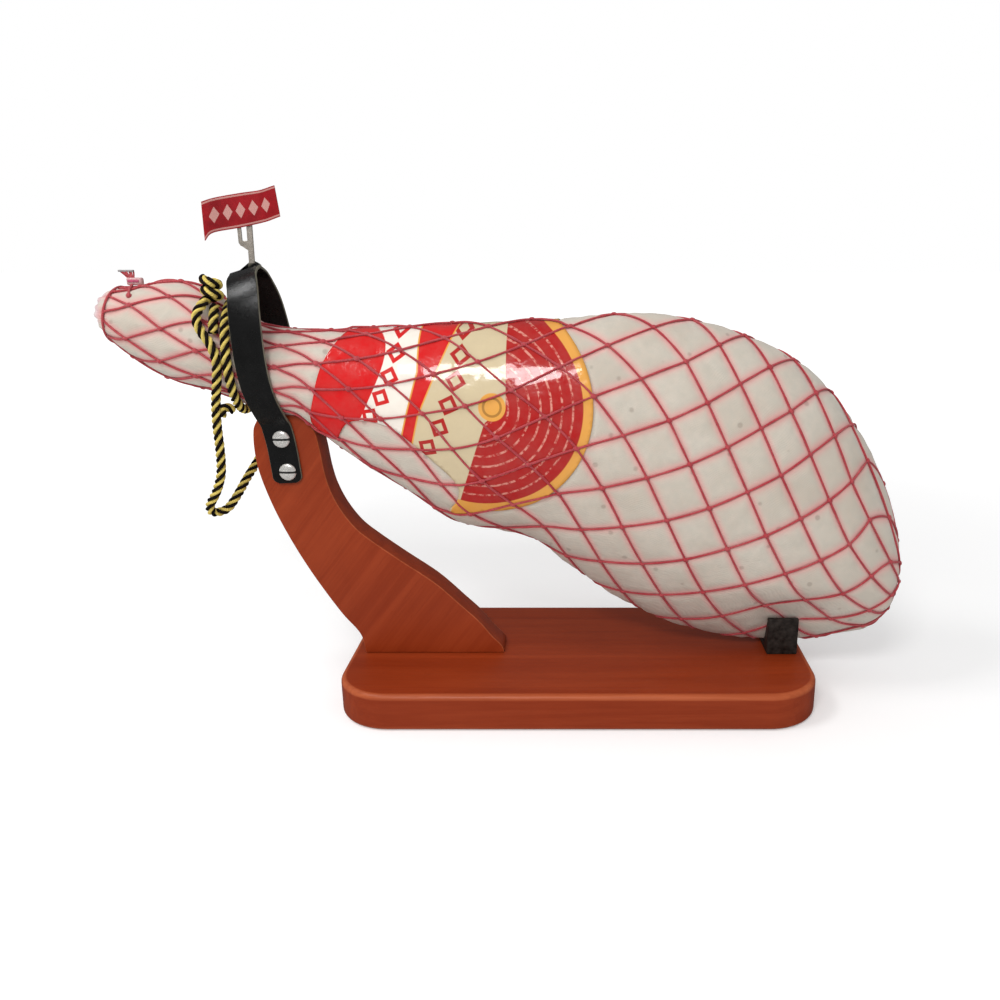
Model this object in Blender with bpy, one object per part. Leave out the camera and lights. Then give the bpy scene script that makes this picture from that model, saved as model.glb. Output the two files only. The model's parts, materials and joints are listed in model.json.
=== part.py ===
"""A cured ham in a cotton sleeve and a knotted net, strapped on its wooden display stand.

Lengths are in metres. The origin is the centre of the base board's underside, +X points to
the butt of the ham, +Y away from the side that is on show and +Z up. Side outlines are (x, z).
"""

import math

import bmesh
import bpy
import numpy as np
from mathutils import Matrix, Vector
from mathutils.bvhtree import BVHTree

# Clearance between pieces that touch
GAP = 0.0003

# Base board
BOARD_LENGTH = 0.420
BOARD_DEPTH = 0.190
BOARD_TOP = 0.033
BOARD_CORNER = 0.047
BOARD_CORNER_STEPS = 7
BOARD_TOP_ROUND = 0.005
BOARD_FOOT_ROUND = 0.004

# Curved upright: both long sides, from the board up
UPRIGHT_THICKNESS = 0.028
UPRIGHT_EDGE = 0.0015
UPRIGHT_BACK_SIDE = (
    (-0.1970, BOARD_TOP + GAP),
    (-0.2010, 0.052),
    (-0.2160, 0.072),
    (-0.2330, 0.099),
    (-0.2470, 0.124),
    (-0.2600, 0.151),
    (-0.2700, 0.176),
    (-0.2780, 0.203),
    (-0.2808, 0.224),
    (-0.2800, 0.243),
    (-0.2760, 0.252),
)
UPRIGHT_FRONT_SIDE = (
    (-0.0690, BOARD_TOP + GAP),
    (-0.0710, 0.040),
    (-0.0800, 0.050),
    (-0.0910, 0.064),
    (-0.1060, 0.079),
    (-0.1300, 0.102),
    (-0.1590, 0.123),
    (-0.1830, 0.141),
    (-0.1980, 0.154),
    (-0.2100, 0.171),
    (-0.2180, 0.189),
    (-0.2220, 0.206),
    (-0.2245, 0.226),
    (-0.2275, 0.241),
    (-0.2340, 0.251),
    (-0.2440, 0.257),
)
FOOT_SCREW_X = (-0.165, -0.110)
FOOT_SCREW_RADIUS = 0.0025
FOOT_SCREW_HEAD = 0.0050
FOOT_SCREW_TOP = 0.062
FOOT_SCREW_POINT = 0.003
FOOT_SCREW_SUNK = 0.0008
FOOT_SLOT = (0.0110, 0.0012, 0.0020)
SCREW_SIDES = 14

# Ham: side outlines from the tip of the shank to the tip of the butt
HAM_TOP = (
    (-0.4000, 0.3430),
    (-0.3975, 0.3560),
    (-0.3880, 0.3612),
    (-0.3700, 0.3625),
    (-0.3480, 0.3675),
    (-0.3230, 0.3660),
    (-0.3020, 0.3555),
    (-0.2840, 0.3410),
    (-0.2640, 0.3310),
    (-0.2300, 0.3270),
    (-0.1700, 0.3280),
    (-0.1000, 0.3315),
    (-0.0300, 0.3345),
    (0.0450, 0.3405),
    (0.0960, 0.3355),
    (0.1500, 0.3195),
    (0.1930, 0.2970),
    (0.2310, 0.2590),
    (0.2620, 0.2100),
    (0.2820, 0.1600),
    (0.2900, 0.1050),
)
HAM_UNDERSIDE = (
    (-0.4000, 0.3430),
    (-0.3985, 0.3270),
    (-0.3840, 0.3110),
    (-0.3610, 0.2935),
    (-0.3380, 0.2825),
    (-0.3140, 0.2770),
    (-0.2920, 0.2680),
    (-0.2720, 0.2580),
    (-0.2530, 0.2545),
    (-0.2400, 0.2520),
    (-0.2240, 0.2390),
    (-0.1870, 0.2110),
    (-0.1490, 0.1870),
    (-0.1220, 0.1660),
    (-0.1000, 0.1560),
    (-0.0640, 0.1490),
    (-0.0350, 0.1380),
    (-0.0110, 0.1170),
    (0.0270, 0.0880),
    (0.0570, 0.0700),
    (0.0860, 0.0570),
    (0.1300, 0.0440),
    (0.1760, 0.0385),
    (0.2110, 0.0390),
    (0.2480, 0.0455),
    (0.2760, 0.0570),
    (0.2900, 0.1050),
)
# Half thickness of the leg along its length, as (x, half thickness)
HAM_HALF_THICKNESS = (
    (-0.40, 0.027),
    (-0.36, 0.031),
    (-0.32, 0.037),
    (-0.27, 0.036),
    (-0.22, 0.037),
    (-0.16, 0.045),
    (-0.08, 0.053),
    (0.00, 0.058),
    (0.08, 0.060),
    (0.15, 0.059),
    (0.20, 0.055),
    (0.25, 0.048),
    (0.29, 0.041),
)
HAM_STATIONS = 54
HAM_AROUND = 24
HAM_END_CROWDING = 0.35
SHANK_END_ROUND = 0.05
BUTT_END_ROUND = 0.17
# The lower edge of the butt is pressed narrow, and stands a little behind the middle
KEEL_NARROWING = 0.65
KEEL_OFFSET = 0.0045
KEEL_FROM = (-0.2, 1.0)
PINCH = 0.56
PINCH_REACH = 0.045
PINCH_LEVELS = (0.060, 0.115)
BUTT_FROM = (-0.10, 0.10)

# Rest block that holds the butt's lower edge between two cheeks
REST_X = (0.1735, 0.2015)
REST_HEIGHT = 0.0355
REST_FLOOR = 0.0045
REST_HALF_WIDTH = 0.0225
REST_CHEEK = 0.0045
REST_FLOOR_HALF = 0.006
REST_EDGE = 0.0008

# Leather strap: the front half of its loop seen along the leg as (y, z), where it lies flat on
# the upright and where it runs free, and how each half leans along the leg as (z, x)
STRAP_WIDTH = 0.0255
STRAP_THICKNESS = 0.003
STRAP_EDGE = 0.0007
STRAP_END_TAPER = 0.0035
STRAP_FLAT_LEVELS = (0.197, 0.212, 0.228, 0.243)
STRAP_LOOP = (
    (-0.0172, 0.2495),
    (-0.0245, 0.2590),
    (-0.0345, 0.2750),
    (-0.0402, 0.2940),
    (-0.0419, 0.3150),
    (-0.0409, 0.3380),
    (-0.0365, 0.3555),
    (-0.0260, 0.3682),
    (-0.0125, 0.3740),
)
STRAP_TOP = 0.3757
STRAP_TILT_DEGREES = 17
STRAP_TILT_FROM = 0.340
STRAP_FRONT_LEAN = (
    (0.190, -0.2530),
    (0.205, -0.2537),
    (0.232, -0.2562),
    (0.258, -0.2610),
    (0.283, -0.2645),
    (0.310, -0.2662),
    (0.345, -0.2675),
    (0.362, -0.2695),
    (0.375, -0.2755),
    (0.382, -0.2795),
)
STRAP_BACK_LEAN = (
    (0.190, -0.2530),
    (0.205, -0.2537),
    (0.232, -0.2562),
    (0.262, -0.2610),
    (0.300, -0.2675),
    (0.323, -0.2710),
    (0.348, -0.2750),
    (0.367, -0.2790),
    (0.382, -0.2795),
)
STRAP_SCREWS = ((-0.2552, 0.2362), (-0.2522, 0.2072))
STRAP_SCREW_HEAD = 0.0074
STRAP_SCREW_DOME = 0.0030
STRAP_SCREW_RADIUS = 0.0021
STRAP_SCREW_DEPTH = 0.0115
STRAP_SCREW_POINT = 0.002
STRAP_SCREW_RIM = 0.0010
STRAP_SCREW_CURVE = ((0.66, 0.80), (0.92, 0.45), (1, 0.12))
SLOT_WIDTH = 0.0020
SLOT_DEPTH = 0.0012

# Printed label under the net, folded over the top of the leg. Its outline from the side is a
# slanted round end, a stepped foot with a pointed tip and a big round
LABEL_LIFT = 0.0005
LABEL_THICKNESS = 0.0008
LABEL_END = (
    (-0.1700, 0.3480),
    (-0.1975, 0.3230),
    (-0.2110, 0.3000),
    (-0.2190, 0.2750),
    (-0.2250, 0.2560),
    (-0.2235, 0.2460),
)
LABEL_FOOT = (
    (-0.2040, 0.2390),
    (-0.1890, 0.2560),
    (-0.1610, 0.2545),
    (-0.1385, 0.2400),
    (-0.1040, 0.2070),
    (-0.1025, 0.1890),
    (-0.1115, 0.1765),
    (-0.1010, 0.1725),
)
LABEL_ROUND_MIDDLE = (-0.0790, 0.2690)
LABEL_ROUND_RADIUS = 0.0910
LABEL_ROUND_DEGREES = (-92, 72)
LABEL_ROUND_STEPS = 14
LABEL_REACH = 0.10

# Flag on its forked steel pin
PIN_FOOT_X = -0.2735
PIN_STRAP_X = -0.2717
PIN_TOP_X = -0.2704
PIN_WIDTH = 0.0046
PIN_THICKNESS = 0.0024
PIN_BOTTOM = 0.312
PIN_YOKE = 0.395
PIN_TOP = 0.4255
PIN_POINT = 0.008
PIN_EDGE = 0.0004
SOCKET_TOP = 0.345
PRONG_X = -0.2793
PRONG_WIDTH = 0.0030
FLAG_THICKNESS = 0.0012
FLAG_TOP = ((-0.3060, 0.4300), (-0.2930, 0.4338), (-0.2750, 0.4368), (-0.2590, 0.4390), (-0.2455, 0.4425))
FLAG_FOOT = ((-0.3065, 0.3995), (-0.2990, 0.4060), (-0.2770, 0.4100), (-0.2560, 0.4145), (-0.2430, 0.4185))
FLAG_WAVE = 0.0032
FLAG_WAVE_SHIFT = 0.05
FLAG_FLAT = (0.13, 0.42)
FLAG_SET_BACK = 0.0012
FLAG_COLUMNS = 18
FLAG_ROWS = 4

# Rope: knot wraps, one turn round the shank, and the loop that hangs free
ROPE_RADIUS = 0.004
KNOT_MIDDLE = (-0.2970, -0.0255)
KNOT_RADIUS = 0.0053
KNOT_PITCH = 0.0084
KNOT_TURNS = 2
KNOT_STEPS = 12
KNOT_FOOT = 0.3535
TURN_MIDDLE = (-0.2890, 0.305)
TURN_LEAN = 0.0042
TURN_LEAN_DEGREES = 70
TURN_STEPS = 24
TURN_CLEARANCE = 0.0018
ROPE_LEAVE = 0.003
ROPE_STEP = 2.2 * 2 * ROPE_RADIUS
ROPE_LOOP_ROUTE = (
    (-0.3026, -0.0320, 0.3510),
    (-0.3058, -0.0368, 0.3450),
    (-0.3062, -0.0398, 0.3375),
    (-0.3020, -0.0422, 0.3285),
    (-0.2955, -0.0438, 0.3190),
    (-0.2925, -0.0438, 0.3060),
    (-0.2945, -0.0425, 0.2900),
    (-0.2985, -0.0395, 0.2720),
    (-0.3012, -0.0360, 0.2520),
    (-0.3022, -0.0335, 0.2300),
    (-0.3050, -0.0305, 0.2090),
    (-0.3115, -0.0285, 0.1925),
    (-0.3195, -0.0260, 0.1795),
    (-0.3195, -0.0205, 0.1715),
    (-0.3105, -0.0130, 0.1725),
    (-0.3030, -0.0060, 0.1830),
    (-0.2965, 0.0060, 0.1970),
    (-0.2900, 0.0185, 0.2100),
    (-0.2850, 0.0250, 0.2240),
    (-0.2850, 0.0290, 0.2400),
    (-0.2880, 0.0335, 0.2560),
    (-0.2895, 0.0385, 0.2700),
)

ROPE_TAIL_ROUTE = (
    (-0.2975, -0.0060, 0.2590),
    (-0.3015, -0.0085, 0.2620),
    (-0.3050, -0.0105, 0.2615),
    (-0.3068, -0.0115, 0.2545),
)

# Clip and tail of the net, on top of the shank's end
CLIP_MIDDLE = (-0.3685, -0.0040, 0.3672)
CLIP_SIZE = (0.0130, 0.0050, 0.0062)
CLIP_ROUND = 0.0012
TAIL_RINGS = 5
TAIL_SIDES = 10
TAIL_HEIGHT = 0.0060
TAIL_HALF_WIDTH = (0.0030, 0.0065)
TAIL_HALF_THICKNESS = (0.0016, 0.0010)
TAIL_OFFSET = 0.0035
TAIL_LEAN = 0.0030

WOOD = ((0.30, 0.055, 0.018), 0.38, 0.0)
LEATHER = ((0.012, 0.012, 0.012), 0.32, 0.0)
STEEL = ((0.62, 0.61, 0.58), 0.30, 1.0)
COTTON = ((0.60, 0.54, 0.48), 0.85, 0.0)
PRINT = ((0.55, 0.03, 0.03), 0.25, 0.0)
ROPE = ((0.50, 0.38, 0.05), 0.75, 0.0)
RUBBER = ((0.012, 0.011, 0.010), 0.55, 0.0)
ENAMEL = ((0.32, 0.008, 0.012), 0.30, 0.0)
NET = ((0.45, 0.03, 0.06), 0.70, 0.0)


def clear_scene():
    for old in list(bpy.data.objects):
        bpy.data.objects.remove(old, do_unlink=True)


def finish_of(name, finish):
    colour, roughness, metallic = finish
    made = bpy.data.materials.new(name)
    made.use_nodes = True
    shader = made.node_tree.nodes["Principled BSDF"]
    shader.inputs["Base Color"].default_value = (*colour, 1.0)
    shader.inputs["Roughness"].default_value = roughness
    shader.inputs["Metallic"].default_value = metallic
    made.diffuse_color = (*colour, 1.0)
    return made


def add_mesh(name, shape, finish, smooth_degrees=None):
    """One object from a bmesh, which is used up."""
    mesh = bpy.data.meshes.new(name)
    shape.to_mesh(mesh)
    shape.free()
    if smooth_degrees is not None:
        mesh.shade_smooth()
        mesh.set_sharp_from_angle(angle=math.radians(smooth_degrees))
    made = bpy.data.objects.new(name, mesh)
    bpy.context.scene.collection.objects.link(made)
    if finish is not None:
        mesh.materials.append(finish_of(name + "_finish", finish))
    return made


def add_cutter(name, shape):
    cutter = add_mesh(name, shape, None)
    cutter.hide_render = True
    cutter.display_type = "WIRE"
    return cutter


def combine(target, other, operation="DIFFERENCE"):
    step = target.modifiers.new(other.name, "BOOLEAN")
    step.operation = operation
    step.solver = "EXACT"
    step.object = other


def round_edges(target, width, segments=1, degrees=40):
    step = target.modifiers.new("round", "BEVEL")
    step.width = width
    step.segments = segments
    step.limit_method = "ANGLE"
    step.angle_limit = math.radians(degrees)


def smooth_line(points, per_span=8):
    """A smooth curve through the given points, as an array with per_span steps between each two."""
    given = np.array(points, float)
    first = 2 * given[0] - given[1]
    last = 2 * given[-1] - given[-2]
    padded = np.vstack([first, given, last])
    steps = np.linspace(0, 1, per_span, endpoint=False)[:, None]
    spans = []
    for before, start, end, after in zip(padded, padded[1:], padded[2:], padded[3:]):
        bend = 2 * before - 5 * start + 4 * end - after
        twist = 3 * (start - end) + after - before
        spans.append(0.5 * (2 * start + (end - before) * steps + bend * steps**2 + twist * steps**3))
    return np.vstack([*spans, given[-1:]])


def along(points, fractions):
    """Points at these fractions of a polyline's length."""
    lengths = np.linalg.norm(np.diff(points, axis=0), axis=1)
    travelled = np.concatenate([[0], np.cumsum(lengths)]) / lengths.sum()
    return np.stack([np.interp(fractions, travelled, column) for column in points.T], axis=1)


def ease(value, start, end):
    """0 before start, 1 after end, smooth between."""
    t = np.clip((value - start) / (end - start), 0, 1)
    return t * t * (3 - 2 * t)


def loft(rings, tips=(None, None)):
    """A closed shape through rings of points, each end drawn to its tip or closed flat."""
    shape = bmesh.new()
    rows = [[shape.verts.new(point) for point in ring] for ring in rings]
    count = len(rows[0])
    for lower, upper in zip(rows, rows[1:]):
        for i in range(count):
            j = (i + 1) % count
            shape.faces.new((lower[i], lower[j], upper[j], upper[i]))
    for row, tip in zip((rows[0], rows[-1]), tips):
        if tip is None:
            shape.faces.new(row)
            continue
        point = shape.verts.new(tip)
        for i in range(count):
            shape.faces.new((row[i], row[(i + 1) % count], point))
    bmesh.ops.recalc_face_normals(shape, faces=shape.faces)
    return shape


def plate(outline, start, end, axis="Y"):
    """An outline of (x, z) points, or (y, z) for axis X, given a thickness from start to end."""
    if axis == "Y":
        rings = [[(x, level, z) for x, z in outline] for level in (start, end)]
    else:
        rings = [[(level, y, z) for y, z in outline] for level in (start, end)]
    return loft(rings)


def turned(profile, sides, middle, direction):
    """A profile of (height, radius) turned round a line that starts at middle."""
    turn = Vector((0, 0, 1)).rotation_difference(Vector(direction)).to_matrix()
    rings = []
    for height, radius in profile:
        angles = (2 * math.pi * k / sides for k in range(sides))
        ring = [Vector((radius * math.cos(a), radius * math.sin(a), height)) for a in angles]
        rings.append([Vector(middle) + turn @ point for point in ring])
    return loft(rings)


def box(middle, size):
    shape = bmesh.new()
    placed = Matrix.Translation(middle) @ Matrix.Diagonal((*size, 1))
    bmesh.ops.create_cube(shape, size=1, matrix=placed)
    return shape


# ---- stand ----


def board_ring(inset, level):
    radius = BOARD_CORNER - inset
    reach_x = BOARD_LENGTH / 2 - BOARD_CORNER
    reach_y = BOARD_DEPTH / 2 - BOARD_CORNER
    ring = []
    for quarter, (side_x, side_y) in enumerate(((1, 1), (-1, 1), (-1, -1), (1, -1))):
        for step in range(BOARD_CORNER_STEPS + 1):
            angle = math.pi / 2 * (quarter + step / BOARD_CORNER_STEPS)
            x = side_x * reach_x + radius * math.cos(angle)
            y = side_y * reach_y + radius * math.sin(angle)
            ring.append((x, y, level))
    return ring


def make_board():
    steps = [math.radians(angle) for angle in (0, 30, 60, 90)]
    rings = []
    for angle in steps:
        foot = BOARD_FOOT_ROUND
        rings.append(board_ring(foot * (1 - math.sin(angle)), foot * (1 - math.cos(angle))))
    for angle in steps:
        top = BOARD_TOP_ROUND
        rings.append(board_ring(top * (1 - math.cos(angle)), BOARD_TOP - top * (1 - math.sin(angle))))
    return add_mesh("base_board", loft(rings), WOOD, 35)


def make_upright():
    back_side = smooth_line(UPRIGHT_BACK_SIDE, 2)
    front_side = smooth_line(UPRIGHT_FRONT_SIDE, 2)
    outline = np.vstack([front_side, back_side[::-1]])
    half = UPRIGHT_THICKNESS / 2
    upright = add_mesh("upright", plate(outline, -half, half), WOOD, 40)
    round_edges(upright, UPRIGHT_EDGE, degrees=60)
    return upright


def foot_screw_profile(grow):
    """The shank, then the countersunk head, as (distance below the tip, radius)."""
    length = FOOT_SCREW_TOP - FOOT_SCREW_SUNK
    shank = FOOT_SCREW_RADIUS + grow
    head = FOOT_SCREW_HEAD + grow
    head_start = length - (FOOT_SCREW_HEAD - FOOT_SCREW_RADIUS)
    return [(-grow, shank / 2), (FOOT_SCREW_POINT, shank), (head_start, shank), (length, head)]


def make_foot_screws(board, upright):
    down = (0, 0, -1)
    for number, x in enumerate(FOOT_SCREW_X, 1):
        tip = (x, 0, FOOT_SCREW_TOP)
        through = (FOOT_SCREW_TOP + GAP, FOOT_SCREW_HEAD + GAP)
        hole_profile = [*foot_screw_profile(GAP), through]
        hole = add_cutter(f"foot_hole_{number}", turned(hole_profile, SCREW_SIDES, tip, down))
        combine(board, hole)
        combine(upright, hole)
        shape = turned(foot_screw_profile(0), SCREW_SIDES, tip, down)
        screw = add_mesh(f"foot_screw_{number}", shape, STEEL, 35)
        slot = box((x, 0, FOOT_SCREW_SUNK), FOOT_SLOT)
        combine(screw, add_cutter(f"foot_slot_{number}", slot))


def make_rest_block():
    outer = REST_HALF_WIDTH
    inner = outer - REST_CHEEK
    top = BOARD_TOP + REST_HEIGHT
    foot = BOARD_TOP + GAP
    floor = BOARD_TOP + REST_FLOOR
    half = (
        (outer, foot),
        (outer, top),
        (inner, top),
        (REST_FLOOR_HALF, floor),
    )
    right_half = [(KEEL_OFFSET + y, z) for y, z in half]
    left_half = [(KEEL_OFFSET - y, z) for y, z in reversed(half)]
    block = add_mesh("rest_block", plate(right_half + left_half, *REST_X, axis="X"), RUBBER, 30)
    round_edges(block, REST_EDGE, degrees=25)
    return block


# ---- ham ----


def ham_rings(grow=0.0):
    """The rings of the leg from shank to butt, and its two tips. Each ring starts at the top."""
    top_line = smooth_line(HAM_TOP)
    under_line = smooth_line(HAM_UNDERSIDE)
    even = np.linspace(0, 1, HAM_STATIONS + 2)[1:-1]
    crowded = (1 - np.cos(math.pi * even)) / 2
    fractions = even + HAM_END_CROWDING * (crowded - even)
    tops = along(top_line, fractions)
    unders = along(under_line, fractions)
    widths = smooth_line(HAM_HALF_THICKNESS)
    angles = np.arange(HAM_AROUND) * 2 * math.pi / HAM_AROUND
    rings = []
    for fraction, top, under in zip(fractions, tops, unders):
        middle = (top + under) / 2
        half_height = (top - under) / 2
        half_width = np.interp(middle[0], widths[:, 0], widths[:, 1])
        end = min(fraction / SHANK_END_ROUND, (1 - fraction) / BUTT_END_ROUND, 1)
        half_width *= math.sqrt(end * (2 - end))
        butt = ease(middle[0], *BUTT_FROM)
        ring = []
        for angle in angles:
            low = ease(-math.cos(angle), *KEEL_FROM)
            power = 1 + KEEL_NARROWING * low * butt
            x, z = middle + half_height * math.cos(angle)
            side = math.copysign(abs(math.sin(angle)) ** power, -math.sin(angle))
            near_rest = math.exp(-(((x - sum(REST_X) / 2) / PINCH_REACH) ** 2))
            pinch = 1 - PINCH * near_rest * (1 - ease(z, *PINCH_LEVELS))
            ring.append((x, half_width * side * pinch + KEEL_OFFSET * low * butt, z))
        rings.append(ring)
    tips = (HAM_TOP[0][0], 0, HAM_TOP[0][1]), (HAM_TOP[-1][0], 0, HAM_TOP[-1][1])
    if grow:
        shape = loft(rings, tips)
        shape.verts.ensure_lookup_table()
        shape.normal_update()
        places = [vert.co + vert.normal * grow for vert in shape.verts]
        shape.free()
        whole = HAM_STATIONS * HAM_AROUND
        rings = [places[k : k + HAM_AROUND] for k in range(0, whole, HAM_AROUND)]
        tips = places[whole], places[whole + 1]
    return rings, tips


def make_ham(upright):
    ham = add_mesh("ham", loft(*ham_rings()), COTTON, 60)
    cradle = add_cutter("shank_in_cradle", loft(*ham_rings(2 * GAP)))
    combine(upright, cradle)
    return ham


def label_outline():
    middle_x, middle_z = LABEL_ROUND_MIDDLE
    start, stop = (math.radians(degrees) for degrees in LABEL_ROUND_DEGREES)
    big_round = []
    for angle in np.linspace(start, stop, LABEL_ROUND_STEPS + 1):
        x = middle_x + LABEL_ROUND_RADIUS * math.cos(angle)
        big_round.append((x, middle_z + LABEL_ROUND_RADIUS * math.sin(angle)))
    return [*LABEL_END, *LABEL_FOOT, *big_round]


def make_label():
    label = add_mesh("label", loft(*ham_rings(LABEL_LIFT + LABEL_THICKNESS)), PRINT, 40)
    combine(label, add_cutter("label_inside", loft(*ham_rings(LABEL_LIFT))))
    sheet = plate(label_outline(), -LABEL_REACH, LABEL_REACH)
    combine(label, add_cutter("label_cut", sheet), "INTERSECT")


# ---- strap ----


def strap_path():
    """The strap's middle line from its front end over the leg to its back end, as (x, y, z)."""
    flat = -(UPRIGHT_THICKNESS / 2 + GAP + STRAP_THICKNESS / 2)
    front = [*((flat, z) for z in STRAP_FLAT_LEVELS), *STRAP_LOOP]
    back = [(-y, z) for y, z in reversed(front)]
    whole = smooth_line([*front, (0, STRAP_TOP), *back], 2)
    front_lean = smooth_line(STRAP_FRONT_LEAN)
    back_lean = smooth_line(STRAP_BACK_LEAN)
    path = []
    for y, z in whole:
        lean = back_lean if y > 0 else front_lean
        path.append((np.interp(z, lean[:, 0], lean[:, 1]), y, z))
    return np.array(path)


def strap_section(half_width):
    """The strap cut across, as (across, outward), with its edges taken off."""
    thick = STRAP_THICKNESS / 2
    corners = []
    for side_a, side_b in ((-1, -1), (1, -1), (1, 1), (-1, 1)):
        along_edge = (side_a * (half_width - STRAP_EDGE), side_b * thick)
        up_edge = (side_a * half_width, side_b * (thick - STRAP_EDGE))
        corners += [up_edge, along_edge] if side_a == side_b else [along_edge, up_edge]
    return corners


def make_strap():
    path = strap_path()
    ahead = np.gradient(path, axis=0)
    ahead /= np.linalg.norm(ahead, axis=1)[:, None]
    rings = []
    last = len(path) - 1
    for number, (point, direction) in enumerate(zip(path, ahead)):
        tilt = math.radians(STRAP_TILT_DEGREES) * ease(point[2], STRAP_TILT_FROM, STRAP_TOP)
        across = np.array((math.cos(tilt), 0, math.sin(tilt)))
        across -= across.dot(direction) * direction
        across /= np.linalg.norm(across)
        outward = np.cross(across, direction)
        taper = STRAP_END_TAPER if number in (0, last) else 0
        section = strap_section(STRAP_WIDTH / 2 - taper)
        rings.append([point + a * across + b * outward for a, b in section])
    strap = add_mesh("strap", loft(rings), LEATHER, 35)
    slot_size = (PIN_WIDTH + 3 * GAP, PIN_THICKNESS + 2 * GAP, 4 * STRAP_THICKNESS)
    combine(strap, add_cutter("pin_slot", box((PIN_STRAP_X, pin_middle_y(), STRAP_TOP), slot_size)))
    return strap


def make_strap_screws(strap, upright):
    surface = UPRIGHT_THICKNESS / 2 + GAP + STRAP_THICKNESS
    seat = surface + GAP
    dome = STRAP_SCREW_DOME
    head = STRAP_SCREW_HEAD
    radius = STRAP_SCREW_RADIUS
    depth = seat + STRAP_SCREW_DEPTH - UPRIGHT_THICKNESS / 2
    for level, (x, z) in zip(("upper", "lower"), STRAP_SCREWS):
        hole_profile = [(way * UPRIGHT_THICKNESS, radius + GAP) for way in (-1, 1)]
        shape = turned(hole_profile, SCREW_SIDES, (x, 0, z), (0, 1, 0))
        hole = add_cutter(f"strap_hole_{level}", shape)
        combine(strap, hole)
        combine(upright, hole)
        for side, way in (("front", -1), ("back", 1)):
            profile = (
                (-depth, radius * 0.6),
                (-depth + STRAP_SCREW_POINT, radius),
                (0, radius),
                (0, head),
                (STRAP_SCREW_RIM, head),
                *((dome * h, head * r) for h, r in STRAP_SCREW_CURVE),
            )
            shape = turned(profile, SCREW_SIDES, (x, way * seat, z), (0, way, 0))
            screw = add_mesh(f"strap_screw_{side}_{level}", shape, STEEL, 30)
            slot_middle = (x, way * (seat + dome), z)
            slot = box(slot_middle, (2.2 * head, 2 * SLOT_DEPTH, SLOT_WIDTH))
            combine(screw, add_cutter(f"slot_{side}_{level}", slot))


# ---- flag ----


def pin_middle_y():
    return FLAG_THICKNESS / 2 + GAP + PIN_THICKNESS / 2 - FLAG_SET_BACK


def make_flag_pin(ham):
    half = PIN_WIDTH / 2
    prong = PRONG_WIDTH / 2
    lean = (PIN_TOP_X - PIN_FOOT_X) / (PIN_TOP - PIN_BOTTOM)

    def on_pin(side, level):
        return PIN_FOOT_X + lean * (level - PIN_BOTTOM) + side * half, level

    outline = (
        on_pin(0, PIN_BOTTOM),
        on_pin(1, PIN_BOTTOM + PIN_POINT),
        on_pin(1, PIN_TOP),
        on_pin(-1, PIN_TOP),
        on_pin(-1, PIN_YOKE + PRONG_WIDTH + prong),
        (PRONG_X + prong, PIN_YOKE + PRONG_WIDTH + prong),
        (PRONG_X + prong, PIN_TOP),
        (PRONG_X - prong, PIN_TOP),
        (PRONG_X - prong, PIN_YOKE + PRONG_WIDTH),
        (PRONG_X + prong, PIN_YOKE),
        on_pin(-1, PIN_YOKE - PRONG_WIDTH),
        on_pin(-1, PIN_BOTTOM + PIN_POINT),
    )
    middle = pin_middle_y()
    thick = PIN_THICKNESS / 2
    pin = add_mesh("flag_pin", plate(outline, middle - thick, middle + thick), STEEL, 30)
    round_edges(pin, PIN_EDGE, degrees=60)
    socket_bottom = PIN_BOTTOM - GAP
    socket_middle = (on_pin(0, socket_bottom)[0], middle, (SOCKET_TOP + socket_bottom) / 2)
    socket_size = (PIN_WIDTH + 8 * GAP, PIN_THICKNESS + 2 * GAP, SOCKET_TOP - socket_bottom)
    combine(ham, add_cutter("pin_socket", box(socket_middle, socket_size)))


def make_flag():
    """A small stiff banner, waved at its ends and flat where the pin holds it."""
    top = along(smooth_line(FLAG_TOP), np.linspace(0, 1, FLAG_COLUMNS + 1))
    foot = along(smooth_line(FLAG_FOOT), np.linspace(0, 1, FLAG_COLUMNS + 1))
    face = pin_middle_y() - PIN_THICKNESS / 2 - GAP - FLAG_THICKNESS / 2
    rings = []
    for column in range(FLAG_COLUMNS + 1):
        share = column / FLAG_COLUMNS
        free = ease(abs(share - 0.5), *FLAG_FLAT)
        y = face - FLAG_WAVE * free * math.cos(2 * math.pi * (share - FLAG_WAVE_SHIFT))
        levels = np.linspace(0, 1, FLAG_ROWS + 1)
        line = [foot[column] * (1 - t) + top[column] * t for t in levels]
        front = [(x, y - FLAG_THICKNESS / 2, z) for x, z in line]
        back = [(x, y + FLAG_THICKNESS / 2, z) for x, z in reversed(line)]
        rings.append(front + back)
    return add_mesh("flag", loft(rings), ENAMEL, 50)


# ---- rope and net end ----


def add_rope(name, points, closed=False):
    """A round tube along the points."""
    curve = bpy.data.curves.new(name, "CURVE")
    curve.dimensions = "3D"
    curve.bevel_depth = ROPE_RADIUS
    curve.bevel_resolution = 2
    curve.use_fill_caps = True
    spline = curve.splines.new("POLY")
    spline.points.add(len(points) - 1)
    for place, (x, y, z) in zip(spline.points, points):
        place.co = (x, y, z, 1)
    spline.use_cyclic_u = closed
    made = bpy.data.objects.new(name, curve)
    bpy.context.scene.collection.objects.link(made)
    curve.materials.append(finish_of(name + "_finish", ROPE))
    return made


def knot_points():
    """Wraps of rope round an upright line, from the top end down to the left-hand side."""
    middle_x, middle_y = KNOT_MIDDLE
    points = []
    for to_go in range(KNOT_STEPS * KNOT_TURNS, -1, -1):
        angle = math.pi - 2 * math.pi * to_go / KNOT_STEPS
        x = middle_x + KNOT_RADIUS * math.cos(angle)
        y = middle_y + KNOT_RADIUS * math.sin(angle)
        points.append((x, y, KNOT_FOOT + KNOT_PITCH * to_go / KNOT_STEPS))
    return points


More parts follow.
